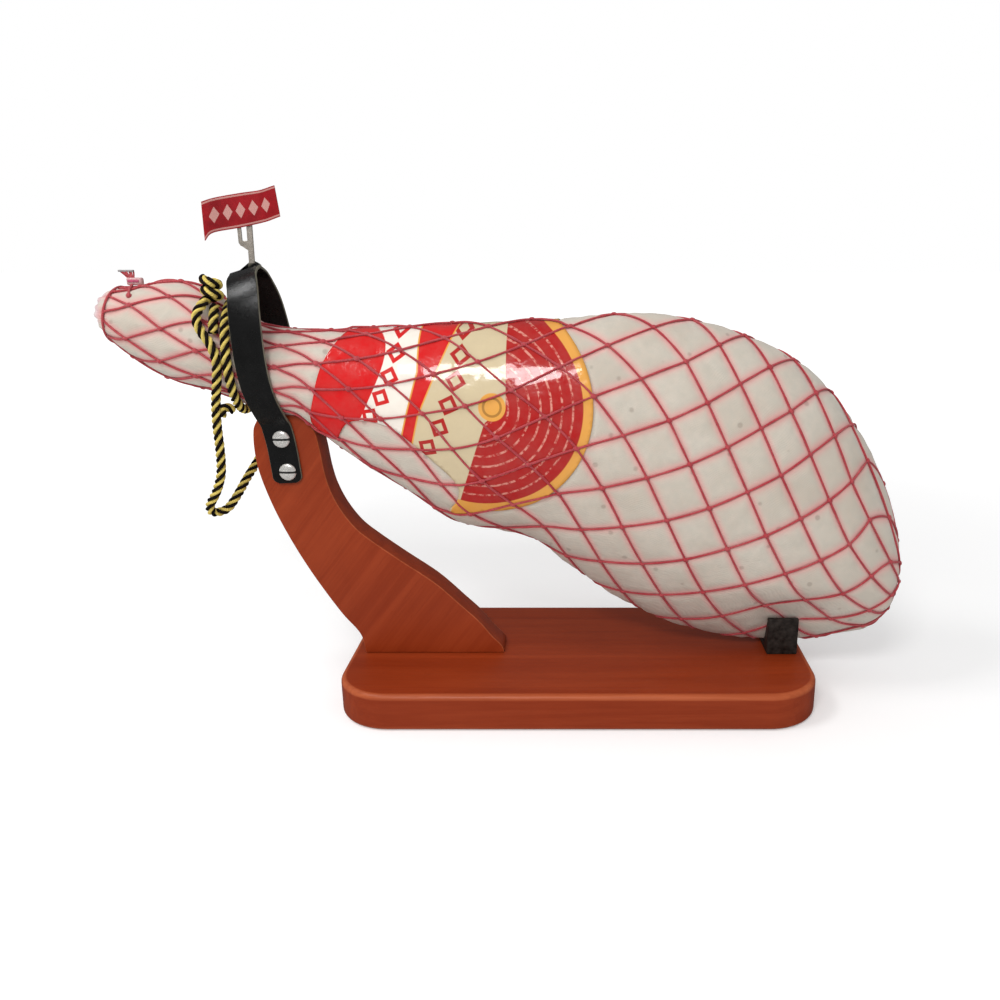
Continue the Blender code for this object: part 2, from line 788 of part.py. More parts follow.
def turn_points(ham_tree):
    """One leaning turn round the shank, read off its skin with a rope's radius to spare."""
    points = []
    for degrees in np.linspace(0, 360, TURN_STEPS, endpoint=False):
        angle = math.radians(degrees)
        x = TURN_MIDDLE[0] - TURN_LEAN * math.cos(angle - math.radians(TURN_LEAN_DEGREES))
        outward = Vector((0, math.sin(angle), math.cos(angle)))
        outside = Vector((x, 0, TURN_MIDDLE[1])) + outward * HAM_TOP[0][1]
        skin = ham_tree.ray_cast(outside, -outward)[0]
        points.append(skin + outward * (ROPE_RADIUS + TURN_CLEARANCE))
    return points


def make_rope(ham_tree):
    knot = [Vector(point) for point in knot_points()]
    add_rope("rope_knot", knot)
    add_rope("rope_turn", turn_points(ham_tree), closed=True)
    add_rope("rope_tail", smooth_line(ROPE_TAIL_ROUTE, 2))
    onward = (knot[-1] - knot[-2]).normalized()
    start = knot[-1] + onward * GAP
    leave = start + onward * ROPE_LEAVE
    route = smooth_line([leave, *ROPE_LOOP_ROUTE])
    length = np.linalg.norm(np.diff(route, axis=0), axis=1).sum()
    count = round(length / ROPE_STEP)
    add_rope("rope_loop", [start, *along(route, np.linspace(0, 1, count + 1))])


def make_net_end():
    x, y, z = CLIP_MIDDLE
    clip = add_mesh("net_clip", box(CLIP_MIDDLE, CLIP_SIZE), NET, 30)
    round_edges(clip, CLIP_ROUND, 2)
    foot = z + CLIP_SIZE[2] / 2 + GAP
    rings = []
    for share in np.linspace(0, 1, TAIL_RINGS):
        wide = TAIL_HALF_WIDTH[0] * (1 - share) + TAIL_HALF_WIDTH[1] * share
        thick = TAIL_HALF_THICKNESS[0] * (1 - share) + TAIL_HALF_THICKNESS[1] * share
        middle = x - TAIL_OFFSET - TAIL_LEAN * share
        angles = (2 * math.pi * k / TAIL_SIDES for k in range(TAIL_SIDES))
        level = foot + TAIL_HEIGHT * share
        rings.append([(middle + wide * math.cos(a), y + thick * math.sin(a), level) for a in angles])
    add_mesh("net_tail", loft(rings), NET, 50)


def main():
    clear_scene()
    board = make_board()
    upright = make_upright()
    ham = make_ham(upright)
    ham_tree = BVHTree.FromPolygons(
        [vertex.co for vertex in ham.data.vertices],
        [tuple(face.vertices) for face in ham.data.polygons],
    )
    make_foot_screws(board, upright)
    make_rest_block()
    strap = make_strap()
    make_strap_screws(strap, upright)
    make_label()
    make_flag_pin(ham)
    make_flag()
    make_rope(ham_tree)
    make_net_end()


main()
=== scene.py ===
"""The looks of a cured ham on its display stand, built round the packed model.

Lengths are in metres, in the packed model's own frame: +X points to the butt of the ham,
+Y away from the side on show and +Z up. A place on the leg is (along, round): the share of
the way from shank to butt, and the share of the girth from the top, first down the front.
"""

import json
import math

import bmesh
import bpy
import numpy as np
from bpy.props import FloatProperty, FloatVectorProperty, PointerProperty
from mathutils import Matrix, Vector
from mathutils.bvhtree import BVHTree
from mathutils.geometry import delaunay_2d_cdt

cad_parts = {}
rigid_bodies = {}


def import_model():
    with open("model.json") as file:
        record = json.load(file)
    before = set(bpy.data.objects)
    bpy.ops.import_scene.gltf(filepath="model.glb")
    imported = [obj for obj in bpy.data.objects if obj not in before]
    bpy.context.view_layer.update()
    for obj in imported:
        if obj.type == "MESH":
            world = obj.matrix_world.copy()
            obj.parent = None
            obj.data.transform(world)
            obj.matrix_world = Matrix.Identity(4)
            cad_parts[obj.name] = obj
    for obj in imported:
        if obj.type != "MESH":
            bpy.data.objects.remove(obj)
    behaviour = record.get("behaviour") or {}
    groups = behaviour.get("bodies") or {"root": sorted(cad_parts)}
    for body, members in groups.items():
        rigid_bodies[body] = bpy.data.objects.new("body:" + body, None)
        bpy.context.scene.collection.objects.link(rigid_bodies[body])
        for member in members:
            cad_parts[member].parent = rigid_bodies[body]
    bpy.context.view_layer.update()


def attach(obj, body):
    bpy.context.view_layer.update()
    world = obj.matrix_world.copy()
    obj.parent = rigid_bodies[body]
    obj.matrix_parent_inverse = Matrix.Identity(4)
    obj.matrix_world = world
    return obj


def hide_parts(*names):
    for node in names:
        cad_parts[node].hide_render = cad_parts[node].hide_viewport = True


bl_info = {
    "name": "Ham Stand",
    "version": (1, 0, 0),
    "blender": (4, 5, 0),
    "location": "3D View > Sidebar > Ham Stand",
    "description": "Builds a cured ham in its net, strapped on a wooden display stand",
    "category": "Add Mesh",
}

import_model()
BODY = "root"
GAP = 0.0003

# Ham: side outlines from the tip of the shank to the tip of the butt, as the packed model has them
HAM_TOP = (
    (-0.4000, 0.3430),
    (-0.3975, 0.3560),
    (-0.3880, 0.3612),
    (-0.3700, 0.3625),
    (-0.3480, 0.3675),
    (-0.3230, 0.3660),
    (-0.3020, 0.3555),
    (-0.2840, 0.3410),
    (-0.2640, 0.3310),
    (-0.2300, 0.3270),
    (-0.1700, 0.3280),
    (-0.1000, 0.3315),
    (-0.0300, 0.3345),
    (0.0450, 0.3405),
    (0.0960, 0.3355),
    (0.1500, 0.3195),
    (0.1930, 0.2970),
    (0.2310, 0.2590),
    (0.2620, 0.2100),
    (0.2820, 0.1600),
    (0.2900, 0.1050),
)
HAM_UNDERSIDE = (
    (-0.4000, 0.3430),
    (-0.3985, 0.3270),
    (-0.3840, 0.3110),
    (-0.3610, 0.2935),
    (-0.3380, 0.2825),
    (-0.3140, 0.2770),
    (-0.2920, 0.2680),
    (-0.2720, 0.2580),
    (-0.2530, 0.2545),
    (-0.2400, 0.2520),
    (-0.2240, 0.2390),
    (-0.1870, 0.2110),
    (-0.1490, 0.1870),
    (-0.1220, 0.1660),
    (-0.1000, 0.1560),
    (-0.0640, 0.1490),
    (-0.0350, 0.1380),
    (-0.0110, 0.1170),
    (0.0270, 0.0880),
    (0.0570, 0.0700),
    (0.0860, 0.0570),
    (0.1300, 0.0440),
    (0.1760, 0.0385),
    (0.2110, 0.0390),
    (0.2480, 0.0455),
    (0.2760, 0.0570),
    (0.2900, 0.1050),
)
HAM_HALF_THICKNESS = (
    (-0.40, 0.027),
    (-0.36, 0.031),
    (-0.32, 0.037),
    (-0.27, 0.036),
    (-0.22, 0.037),
    (-0.16, 0.045),
    (-0.08, 0.053),
    (0.00, 0.058),
    (0.08, 0.060),
    (0.15, 0.059),
    (0.20, 0.055),
    (0.25, 0.048),
    (0.29, 0.041),
)
SHANK_END_ROUND = 0.05
BUTT_END_ROUND = 0.17
KEEL_NARROWING = 0.65
KEEL_OFFSET = 0.0045
KEEL_FROM = (-0.2, 1.0)
PINCH = 0.56
PINCH_REACH = 0.045
PINCH_LEVELS = (0.060, 0.115)
BUTT_FROM = (-0.10, 0.10)
REST_X = (0.1735, 0.2015)

# How finely the leg's skin is tabulated
TABLE_ALONG = 600
TABLE_ROUND = 480


def smooth_line(points, per_span=8):
    """A smooth curve through the given points, as an array with per_span steps between each two."""
    given = np.array(points, float)
    first = 2 * given[0] - given[1]
    last = 2 * given[-1] - given[-2]
    padded = np.vstack([first, given, last])
    steps = np.linspace(0, 1, per_span, endpoint=False)[:, None]
    spans = []
    for before, start, end, after in zip(padded, padded[1:], padded[2:], padded[3:]):
        bend = 2 * before - 5 * start + 4 * end - after
        twist = 3 * (start - end) + after - before
        spans.append(0.5 * (2 * start + (end - before) * steps + bend * steps**2 + twist * steps**3))
    return np.vstack([*spans, given[-1:]])


def travelled(points):
    """How far along a polyline each of its points is, in metres."""
    steps = np.linalg.norm(np.diff(points, axis=0), axis=1)
    return np.concatenate([[0], np.cumsum(steps)])


def along(points, fractions):
    """Points at these fractions of a polyline's length."""
    way = travelled(points)
    return np.stack([np.interp(fractions, way / way[-1], column) for column in points.T], axis=-1)


def ease(value, start, end):
    """0 before start, 1 after end, smooth between."""
    t = np.clip((value - start) / (end - start), 0, 1)
    return t * t * (3 - 2 * t)


def unit(vectors):
    return vectors / np.maximum(np.linalg.norm(vectors, axis=-1, keepdims=True), 1e-12)


def ripple(points, size, seed, waves=7):
    """Smooth, repeatable unevenness between about -1 and 1 over an array of points."""
    dice = np.random.default_rng(seed)
    total = np.zeros(points.shape[:-1])
    for _ in range(waves):
        way = unit(dice.normal(size=3)) * 2 * math.pi / (size * dice.uniform(0.7, 1.6))
        total += np.sin(points @ way + dice.uniform(0, 2 * math.pi))
    return total / math.sqrt(waves)


# ---- the leg's skin ----


class Leg:
    """The skin of the leg as a table of points, evenly spaced round each section."""

    def __init__(self):
        top_line = smooth_line(HAM_TOP)
        under_line = smooth_line(HAM_UNDERSIDE)
        self.widths = smooth_line(HAM_HALF_THICKNESS)
        self.shares = np.linspace(0, 1, TABLE_ALONG + 1)
        self.tops = along(top_line, self.shares)
        self.unders = along(under_line, self.shares)
        self.angles = np.linspace(0, 2 * math.pi, TABLE_ROUND + 1)
        raw = self.section_points()
        steps = np.linalg.norm(np.diff(raw, axis=1), axis=2)
        ways = np.concatenate([np.zeros((len(raw), 1)), np.cumsum(steps, axis=1)], axis=1)
        self.girths = ways[:, -1]
        self.rounds = np.linspace(0, 1, TABLE_ROUND + 1)
        even = np.empty_like(raw)
        self.round_of_angle = np.empty(raw.shape[:2])
        for row, (ring, way) in enumerate(zip(raw, ways)):
            share = way / way[-1] if way[-1] > 1e-9 else self.rounds
            self.round_of_angle[row] = share
            for axis in range(3):
                even[row, :, axis] = np.interp(self.rounds, share, ring[:, axis])
        self.points = even
        forward = np.gradient(even, axis=0)
        wrapped = np.concatenate([even[:, -2:-1], even, even[:, 1:2]], axis=1)
        sideways = wrapped[:, 2:] - wrapped[:, :-2]
        normals = np.cross(sideways, forward)
        normals[0] = normals[1].mean(axis=0)
        normals[-1] = normals[-2].mean(axis=0)
        self.normals = unit(normals)
        self.length = travelled(even[:, TABLE_ROUND // 4])[-1]

    def section_points(self):
        middle = (self.tops + self.unders) / 2
        half_height = (self.tops - self.unders) / 2
        half_width = np.interp(middle[:, 0], self.widths[:, 0], self.widths[:, 1])
        end = np.minimum(self.shares / SHANK_END_ROUND, (1 - self.shares) / BUTT_END_ROUND)
        end = np.minimum(end, 1)
        half_width = half_width * np.sqrt(end * (2 - end))
        butt = ease(middle[:, 0], *BUTT_FROM)[:, None]
        low = ease(-np.cos(self.angles), *KEEL_FROM)[None, :]
        power = 1 + KEEL_NARROWING * low * butt
        x = middle[:, 0, None] + half_height[:, 0, None] * np.cos(self.angles)
        z = middle[:, 1, None] + half_height[:, 1, None] * np.cos(self.angles)
        sine = np.sin(self.angles)[None, :]
        side = -np.sign(sine) * np.abs(sine) ** power
        near_rest = np.exp(-(((x - sum(REST_X) / 2) / PINCH_REACH) ** 2))
        pinch = 1 - PINCH * near_rest * (1 - ease(z, *PINCH_LEVELS))
        y = half_width[:, None] * side * pinch + KEEL_OFFSET * low * butt
        return np.stack([x, y, z], axis=2)

    def read(self, table, share, turn):
        """The table's value at these places, between its rows and columns."""
        row = np.clip(share, 0, 1) * TABLE_ALONG
        column = (np.asarray(turn) % 1.0) * TABLE_ROUND
        i = np.minimum(row.astype(int), TABLE_ALONG - 1)
        j = np.minimum(column.astype(int), TABLE_ROUND - 1)
        s = (row - i)[..., None]
        t = (column - j)[..., None]
        lower = table[i, j] * (1 - t) + table[i, j + 1] * t
        upper = table[i + 1, j] * (1 - t) + table[i + 1, j + 1] * t
        return lower * (1 - s) + upper * s

    def at(self, share, turn, lift=0.0):
        """Points on the skin, lifted off it."""
        share, turn = np.broadcast_arrays(np.asarray(share, float), np.asarray(turn, float))
        outward = unit(self.read(self.normals, share, turn))
        return self.read(self.points, share, turn) + outward * np.asarray(lift)[..., None]

    def girth(self, share):
        return np.interp(share, self.shares, self.girths)

    def place_of(self, x, z):
        """The place on the front of the leg that is seen at (x, z) from the side."""
        across = self.tops - self.unders
        off = np.array((x, z)) - self.unders
        side = off[:, 0] * across[:, 1] - off[:, 1] * across[:, 0]
        cross = np.flatnonzero((side[:-1] > 0) != (side[1:] > 0))[-1]
        t = side[cross] / (side[cross] - side[cross + 1])
        share = (cross + t) / TABLE_ALONG
        up = (off * across).sum(1) / np.maximum((across**2).sum(1), 1e-12)
        height = np.clip(up[cross] * (1 - t) + up[cross + 1] * t, 0, 1)
        angle = math.acos(2 * height - 1)
        ring = self.round_of_angle[cross] * (1 - t) + self.round_of_angle[cross + 1] * t
        return share, float(np.interp(angle, self.angles, ring)), up[cross]


LEG = Leg()

# ---- the net ----

# The net is knotted in rows. Row 0 goes round the middle of the leg
NET_COLUMNS = 12
NET_FIRST_ROW = -11
NET_LAST_ROW = 16
NET_MIDDLE_SHARE = 0.4520
# How the rows lean back or forward at the butt, and bend over the top and the keel
NET_LEAN = (
    (-11, 0.0),
    (-1, -0.004),
    (4, -0.010),
    (6, 0.002),
    (8, 0.0115),
    (10, 0.023),
    (12, 0.040),
    (14, 0.020),
    (16, 0.0),
)
NET_BEND = ((-11, 0.0), (2, 0.004), (6, 0.010), (12, 0.010), (14, 0.004), (16, 0.0))
# Length of thread from knot to knot, where column 0 runs round the leg, and how far the
# columns spread apart on the front, all by row
NET_MESH = (
    (-11, 0.0315),
    (-7, 0.0315),
    (-4, 0.0340),
    (0, 0.0370),
    (2, 0.0390),
    (4, 0.0375),
    (6, 0.0362),
    (16, 0.0362),
)
NET_PHASE = (
    (-11, 0.290),
    (-9, 0.280),
    (-8, 0.260),
    (-6, 0.211),
    (-3, 0.230),
    (0, 0.247),
    (8, 0.267),
    (11, 0.264),
    (13, 0.240),
    (16, 0.240),
)
NET_SPREAD = ((-11, 0.45), (-10, 0.45), (-9, 0.33), (-8, 0.20), (-6, 0.0), (8, 0.02), (12, 0.17), (16, 0.0))


def by_row(table, row):
    given = np.array(table, float)
    return np.interp(row, given[:, 0], given[:, 1])


class Net:
    """Where each row and column of the net lies on the leg."""

    def __init__(self):
        self.rows = np.arange(NET_FIRST_ROW, NET_LAST_ROW + 1)
        shares = {0: NET_MIDDLE_SHARE}
        for way, last in ((1, NET_LAST_ROW), (-1, NET_FIRST_ROW)):
            for row in range(0, last, way):
                half_mesh = LEG.girth(shares[row]) / (2 * NET_COLUMNS)
                step = math.sqrt(max(by_row(NET_MESH, row) ** 2 - half_mesh**2, 0.01**2))
                shares[row + way] = min(max(shares[row] + way * step / LEG.length, 0.0), 1.0)
        self.row_shares = np.array([shares[row] for row in self.rows])

    def share(self, row, turn):
        """How far along the leg a row is, at a turn round it."""
        middle = np.interp(row, self.rows, self.row_shares)
        lean = by_row(NET_LEAN, row) * np.cos(2 * math.pi * turn)
        bend = by_row(NET_BEND, row) * np.cos(2 * math.pi * turn) ** 2
        return middle - lean - bend

    def even_turn(self, turn, row):
        spread = by_row(NET_SPREAD, row)
        return turn - spread / (2 * math.pi) * np.sin(2 * math.pi * (turn - 0.25)) - by_row(NET_PHASE, row)

    def turn(self, column, row):
        """The turn round the leg of a column, which may be a part column."""
        tries = np.linspace(-1.5, 2.5, 1601)
        found = np.empty(len(column))
        for k, (c, r) in enumerate(zip(column, row)):
            found[k] = np.interp(c / NET_COLUMNS, self.even_turn(tries, r), tries)
        return found

    def rows_at(self, share, turn):
        """The part row and part column at each place, on grids where only turn changes along a row."""
        row = np.empty(share.shape)
        tries = np.linspace(NET_FIRST_ROW - 1, NET_LAST_ROW + 1, 400)
        for j in range(share.shape[1]):
            line = np.maximum.accumulate(self.share(tries, turn[0, j]) + tries * 1e-9)
            row[:, j] = np.interp(share[:, j], line, tries)
        column = self.even_turn(turn, row) * NET_COLUMNS
        return row, column


NET = Net()

# ---- making meshes ----


def add_piece(name, mesh, finishes, stands_for=(), smooth_degrees=None):
    """One visible piece on the body, with its finishes and the packed nodes that it stands for."""
    mesh.shade_smooth()
    if smooth_degrees is not None:
        mesh.set_sharp_from_angle(angle=math.radians(smooth_degrees))
    for finish in finishes:
        mesh.materials.append(finish)
    piece = bpy.data.objects.new(name, mesh)
    bpy.context.scene.collection.objects.link(piece)
    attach(piece, BODY)
    if stands_for:
        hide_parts(*stands_for)
    return piece


def mesh_of(name, points, faces, corners=(), layer="Way"):
    """A mesh with its faces turned outward, and with one UV layer if there are face corners for it."""
    mesh = bpy.data.meshes.new(name)
    mesh.from_pydata([tuple(point) for point in points], [], faces)
    mesh.update()
    if len(corners):
        uv = mesh.uv_layers.new(name=layer)
        uv.uv.foreach_set("vector", np.asarray(corners, np.float32).ravel())
    shape = bmesh.new()
    shape.from_mesh(mesh)
    bmesh.ops.recalc_face_normals(shape, faces=shape.faces)
    shape.to_mesh(mesh)
    shape.free()
    return mesh


def mesh_of_shape(name, shape):
    """A mesh from a bmesh, which is used up."""
    bmesh.ops.recalc_face_normals(shape, faces=shape.faces)
    mesh = bpy.data.meshes.new(name)
    shape.to_mesh(mesh)
    shape.free()
    return mesh


def write_mask(mesh, name, values):
    """One value at each point of the mesh, for a finish to read."""
    mask = mesh.attributes.new(name, "FLOAT", "POINT")
    mask.data.foreach_set("value", np.asarray(values, np.float32).ravel())


def strip(rings, closed=False, uv=None, tips=(None, None)):
    """Points, faces and face corners' UVs of a skin over rings of points, its ends drawn to tips or capped.

    rings is (count, around, 3). uv, where given, is (count + closed, around + 1, 2)."""
    count, around = rings.shape[:2]
    points = rings.reshape(-1, 3).tolist()
    faces = []
    corners = []
    spans = count if closed else count - 1
    for i in range(spans):
        j = (i + 1) % count
        for k in range(around):
            m = (k + 1) % around
            faces.append((i * around + k, i * around + m, j * around + m, j * around + k))
            if uv is not None:
                corners += [uv[i, k], uv[i, k + 1], uv[i + 1, k + 1], uv[i + 1, k]]
    if not closed:
        for end, tip in ((0, tips[0]), (count - 1, tips[1])):
            ring = [end * around + k for k in range(around)]
            if end == 0:
                ring = ring[::-1]
            if tip is None:
                faces.append(tuple(ring))
                if uv is not None:
                    order = range(around)[::-1] if end == 0 else range(around)
                    corners += [uv[end, k] for k in order]
                continue
            points.append(tuple(tip))
            middle = len(points) - 1
            for k in range(around):
                m = (k + 1) % around
                faces.append((ring[k], ring[m], middle))
                if uv is not None:
                    a, b = (k, k + 1) if end else (around - k, around - k - 1)
                    corners += [uv[end, a], uv[end, b], uv[end, min(a, b)]]
    return points, faces, corners


def frames_along(path, side=None):
    """Two crosswise directions at each point of a path, turned as little as possible from point to point."""
    ahead = unit(np.gradient(path, axis=0))
    if side is None:
        side = np.cross(ahead[0], (0.0, 0.0, 1.0))
        if np.linalg.norm(side) < 0.2:
            side = np.cross(ahead[0], (0.0, 1.0, 0.0))
    side = unit(side - side.dot(ahead[0]) * ahead[0])
    sides = [side]
    for direction in ahead[1:]:
        side = unit(side - side.dot(direction) * direction)
        sides.append(side)
    sides = np.array(sides)
    return sides, np.cross(ahead, sides), ahead


def tube(path, radius, sides=8):
    """Rings round a path. radius is one value or one for each point."""
    across, over, _ = frames_along(path)
    angles = np.arange(sides) * 2 * math.pi / sides
    reach = np.broadcast_to(np.asarray(radius, float), (len(path),))[:, None, None]
    turned = across[:, None] * np.cos(angles)[None, :, None] + over[:, None] * np.sin(angles)[None, :, None]
    return path[:, None] + reach * turned


def join(parts):
    """One set of points, faces and corner UVs from several."""
    points, faces, corners = [], [], []
    for part_points, part_faces, part_corners in parts:
        shift = len(points)
        points += list(part_points)
        faces += [tuple(k + shift for k in face) for face in part_faces]
        corners += list(part_corners)
    return points, faces, corners


def rounded_section(half_width, half_height, edge, steps=4):
    """A rectangle with round corners, as (across, up) points."""
    points = []
    for quarter, (sx, sy) in enumerate(((1, 1), (-1, 1), (-1, -1), (1, -1))):
        for step in range(steps + 1):
            angle = math.pi / 2 * (quarter + step / steps)
            across = sx * (half_width - edge) + edge * math.cos(angle)
            points.append((across, sy * (half_height - edge) + edge * math.sin(angle)))
    return np.array(points)


def turned_mesh(profile, sides, middle, direction):
    """A profile of (height, radius) turned round a line that starts at middle, as a bmesh."""
    turn = Vector((0, 0, 1)).rotation_difference(Vector(direction)).to_matrix()
    shape = bmesh.new()
    rows = []
    for height, radius in profile:
        row = []
        for k in range(sides):
            angle = 2 * math.pi * k / sides
            place = Vector((radius * math.cos(angle), radius * math.sin(angle), height))
            row.append(shape.verts.new(Vector(middle) + turn @ place))
        rows.append(row)
    for lower, upper in zip(rows, rows[1:]):
        for k in range(sides):
            m = (k + 1) % sides
            shape.faces.new((lower[k], lower[m], upper[m], upper[k]))
    shape.faces.new(rows[0][::-1])
    shape.faces.new(rows[-1])
    return shape


def cut_shape(piece, name, shape):
    """Cuts a bmesh out of a piece for good."""
    cutter = bpy.data.objects.new(name, mesh_of_shape(name, shape))
    bpy.context.scene.collection.objects.link(cutter)
    step = piece.modifiers.new(name, "BOOLEAN")
    step.solver = "EXACT"
    step.object = cutter
    keep_modified(piece)
    bpy.data.objects.remove(cutter, do_unlink=True)


def cut_box(piece, name, middle, size):
    """Cuts a box out of a piece for good."""
    shape = bmesh.new()
    bmesh.ops.create_cube(shape, size=1, matrix=Matrix.Translation(middle) @ Matrix.Diagonal((*size, 1)))
    cut_shape(piece, name, shape)


def soften(piece, width, segments, degrees):
    """Rounds a piece's edges for good."""
    step = piece.modifiers.new("round", "BEVEL")
    step.width = width
    step.segments = segments
    step.limit_method = "ANGLE"
    step.angle_limit = math.radians(degrees)
    keep_modified(piece)


def keep_modified(piece):
    """Makes what the piece's modifiers do into its own mesh."""
    bpy.context.view_layer.update()
    graph = bpy.context.evaluated_depsgraph_get()
    made = bpy.data.meshes.new_from_object(piece.evaluated_get(graph))
    piece.modifiers.clear()
    piece.data = made


# ---- making finishes ----


def put(tree, kind, inputs=None, **settings):
    """A new node, with its settings and with its inputs set to values or joined to sockets."""
    made = tree.nodes.new(kind)
    for key, value in settings.items():
        setattr(made, key, value)
    for key, value in (inputs or {}).items():
        socket = made.inputs[key]
        if isinstance(value, bpy.types.NodeSocket):
            tree.links.new(value, socket)
        else:
            socket.default_value = value
    return made


def calc(tree, operation, first, second=0.0, clamp=False):
    made = put(tree, "ShaderNodeMath", {0: first, 1: second}, operation=operation, use_clamp=clamp)
    return made.outputs[0]


def ramp(tree, value, share, start):
    """A value times a share, counted from a start."""
    return calc(tree, "ADD", calc(tree, "MULTIPLY", value, share), start)


def weigh(tree, first, share, second, other_share):
    """Two values, each times its share, added up."""
    first = calc(tree, "MULTIPLY", first, share)
    return calc(tree, "ADD", first, calc(tree, "MULTIPLY", second, other_share))


def blend(tree, amount, first, second, kind="MIX"):
    """A colour between two, or a blend of them."""
    made = put(tree, "ShaderNodeMix", data_type="RGBA", blend_type=kind)
    for key, value in ((0, amount), (6, first), (7, second)):
        if isinstance(value, bpy.types.NodeSocket):
            tree.links.new(value, made.inputs[key])
        else:
            made.inputs[key].default_value = (*value, 1.0) if key and len(value) == 3 else value
    return made.outputs[2]


def step_up(tree, value, start, end):
    """0 before start, 1 after end."""
    made = put(tree, "ShaderNodeMapRange", {"Value": value, "From Min": start, "From Max": end})
    made.interpolation_type = "SMOOTHSTEP"
    return made.outputs[0]


def group_of(name, inputs, outputs):
    """An empty node group with named inputs, as (name, kind, default), and outputs, as (name, kind)."""
    tree = bpy.data.node_groups.new(name, "ShaderNodeTree")
    for label, kind, default in inputs:
        socket = tree.interface.new_socket(label, in_out="INPUT", socket_type=kind)
        if default is not None:
            socket.default_value = default
    for label, kind in outputs:
        tree.interface.new_socket(label, in_out="OUTPUT", socket_type=kind)
    return tree, tree.nodes.new("NodeGroupInput"), tree.nodes.new("NodeGroupOutput")


def use(tree, name, inputs=None):
    """A node that holds the group of this name, which is made the first time."""
    group = bpy.data.node_groups.get(name) or GROUPS[name](name)
    made = tree.nodes.new("ShaderNodeGroup")
    made.node_tree = group
    for key, value in (inputs or {}).items():
        if isinstance(value, bpy.types.NodeSocket):
            tree.links.new(value, made.inputs[key])
        else:
            made.inputs[key].default_value = value
    return made.outputs


def make_mottle(name):
    """Soft clouds with finer ones inside them, from 0 to 1."""
    inputs = (
        ("Place", "NodeSocketVector", None),
        ("Size", "NodeSocketFloat", 0.02),
        ("Contrast", "NodeSocketFloat", 1.0),
    )
    tree, given, out = group_of(name, inputs, (("Mask", "NodeSocketFloat"),))
    scale = calc(tree, "DIVIDE", 1.0, given.outputs["Size"])
    noise = put(
        tree,
        "ShaderNodeTexNoise",
        {"Vector": given.outputs["Place"], "Scale": scale, "Detail": 4.0, "Roughness": 0.6},
    )
    centred = calc(tree, "SUBTRACT", noise.outputs[0], 0.5)
    wider = calc(tree, "MULTIPLY", centred, calc(tree, "MULTIPLY", given.outputs["Contrast"], 2.2))
    tree.links.new(calc(tree, "ADD", wider, 0.5, clamp=True), out.inputs["Mask"])
    return tree


def make_specks(name):
    """Small scattered dots: 1 in a dot and 0 round it."""
    inputs = (
        ("Place", "NodeSocketVector", None),
        ("Spacing", "NodeSocketFloat", 0.01),
        ("Dot Share", "NodeSocketFloat", 0.2),
    )
    tree, given, out = group_of(name, inputs, (("Mask", "NodeSocketFloat"),))
    scale = calc(tree, "DIVIDE", 1.0, given.outputs["Spacing"])
    cells = put(tree, "ShaderNodeTexVoronoi", {"Vector": given.outputs["Place"], "Scale": scale})
    edge = calc(tree, "MULTIPLY", given.outputs["Dot Share"], 0.6)
    inside = put(
        tree,
        "ShaderNodeMapRange",
        {"Value": cells.outputs["Distance"], "From Min": edge, "From Max": given.outputs["Dot Share"]},
    )
    inside.inputs["To Min"].default_value = 1.0
    inside.inputs["To Max"].default_value = 0.0
    tree.links.new(inside.outputs[0], out.inputs["Mask"])
    return tree


def make_knit(name):
    """The rows of a fine stretch knit: its height, and the low gaps between its rows as a mask for painted
    shade.
    """
    inputs = (("Place", "NodeSocketVector", None), ("Stitch", "NodeSocketFloat", 0.0012))
    outputs = (("Height", "NodeSocketFloat"), ("Gap", "NodeSocketFloat"))
    tree, given, out = group_of(name, inputs, outputs)
    bent = put(tree, "ShaderNodeTexNoise", {"Vector": given.outputs["Place"], "Scale": 60.0, "Detail": 2.0})
    pushed = put(
        tree,
        "ShaderNodeVectorMath",
        {0: bent.outputs["Color"], 1: (0.004, 0.004, 0.004)},
        operation="MULTIPLY",
    )
    moved = put(
        tree,
        "ShaderNodeVectorMath",
        {0: given.outputs["Place"], 1: pushed.outputs[0]},
        operation="ADD",
    )
    parts = put(tree, "ShaderNodeSeparateXYZ", {0: moved.outputs[0]})
    turn = calc(tree, "DIVIDE", 2 * math.pi, given.outputs["Stitch"])
    slant = weigh(tree, parts.outputs[0], 0.93, parts.outputs[2], -0.37)
    cross = weigh(tree, parts.outputs[0], 0.37, parts.outputs[2], 0.93)
    cross = calc(tree, "ADD", cross, calc(tree, "MULTIPLY", parts.outputs[1], 0.8))
    wales = calc(tree, "SINE", calc(tree, "MULTIPLY", cross, turn))
    courses = calc(tree, "SINE", calc(tree, "MULTIPLY", slant, calc(tree, "MULTIPLY", turn, 1.3)))
    height = calc(tree, "MULTIPLY", calc(tree, "ADD", wales, calc(tree, "MULTIPLY", courses, 0.6)), 0.3)
    tree.links.new(calc(tree, "ADD", height, 0.5), out.inputs["Height"])
    # The knit's low places, where the cloth is darkened as painted shade
    tree.links.new(step_up(tree, calc(tree, "MULTIPLY", height, -1.0), 0.1, 0.45), out.inputs["Gap"])
    return tree


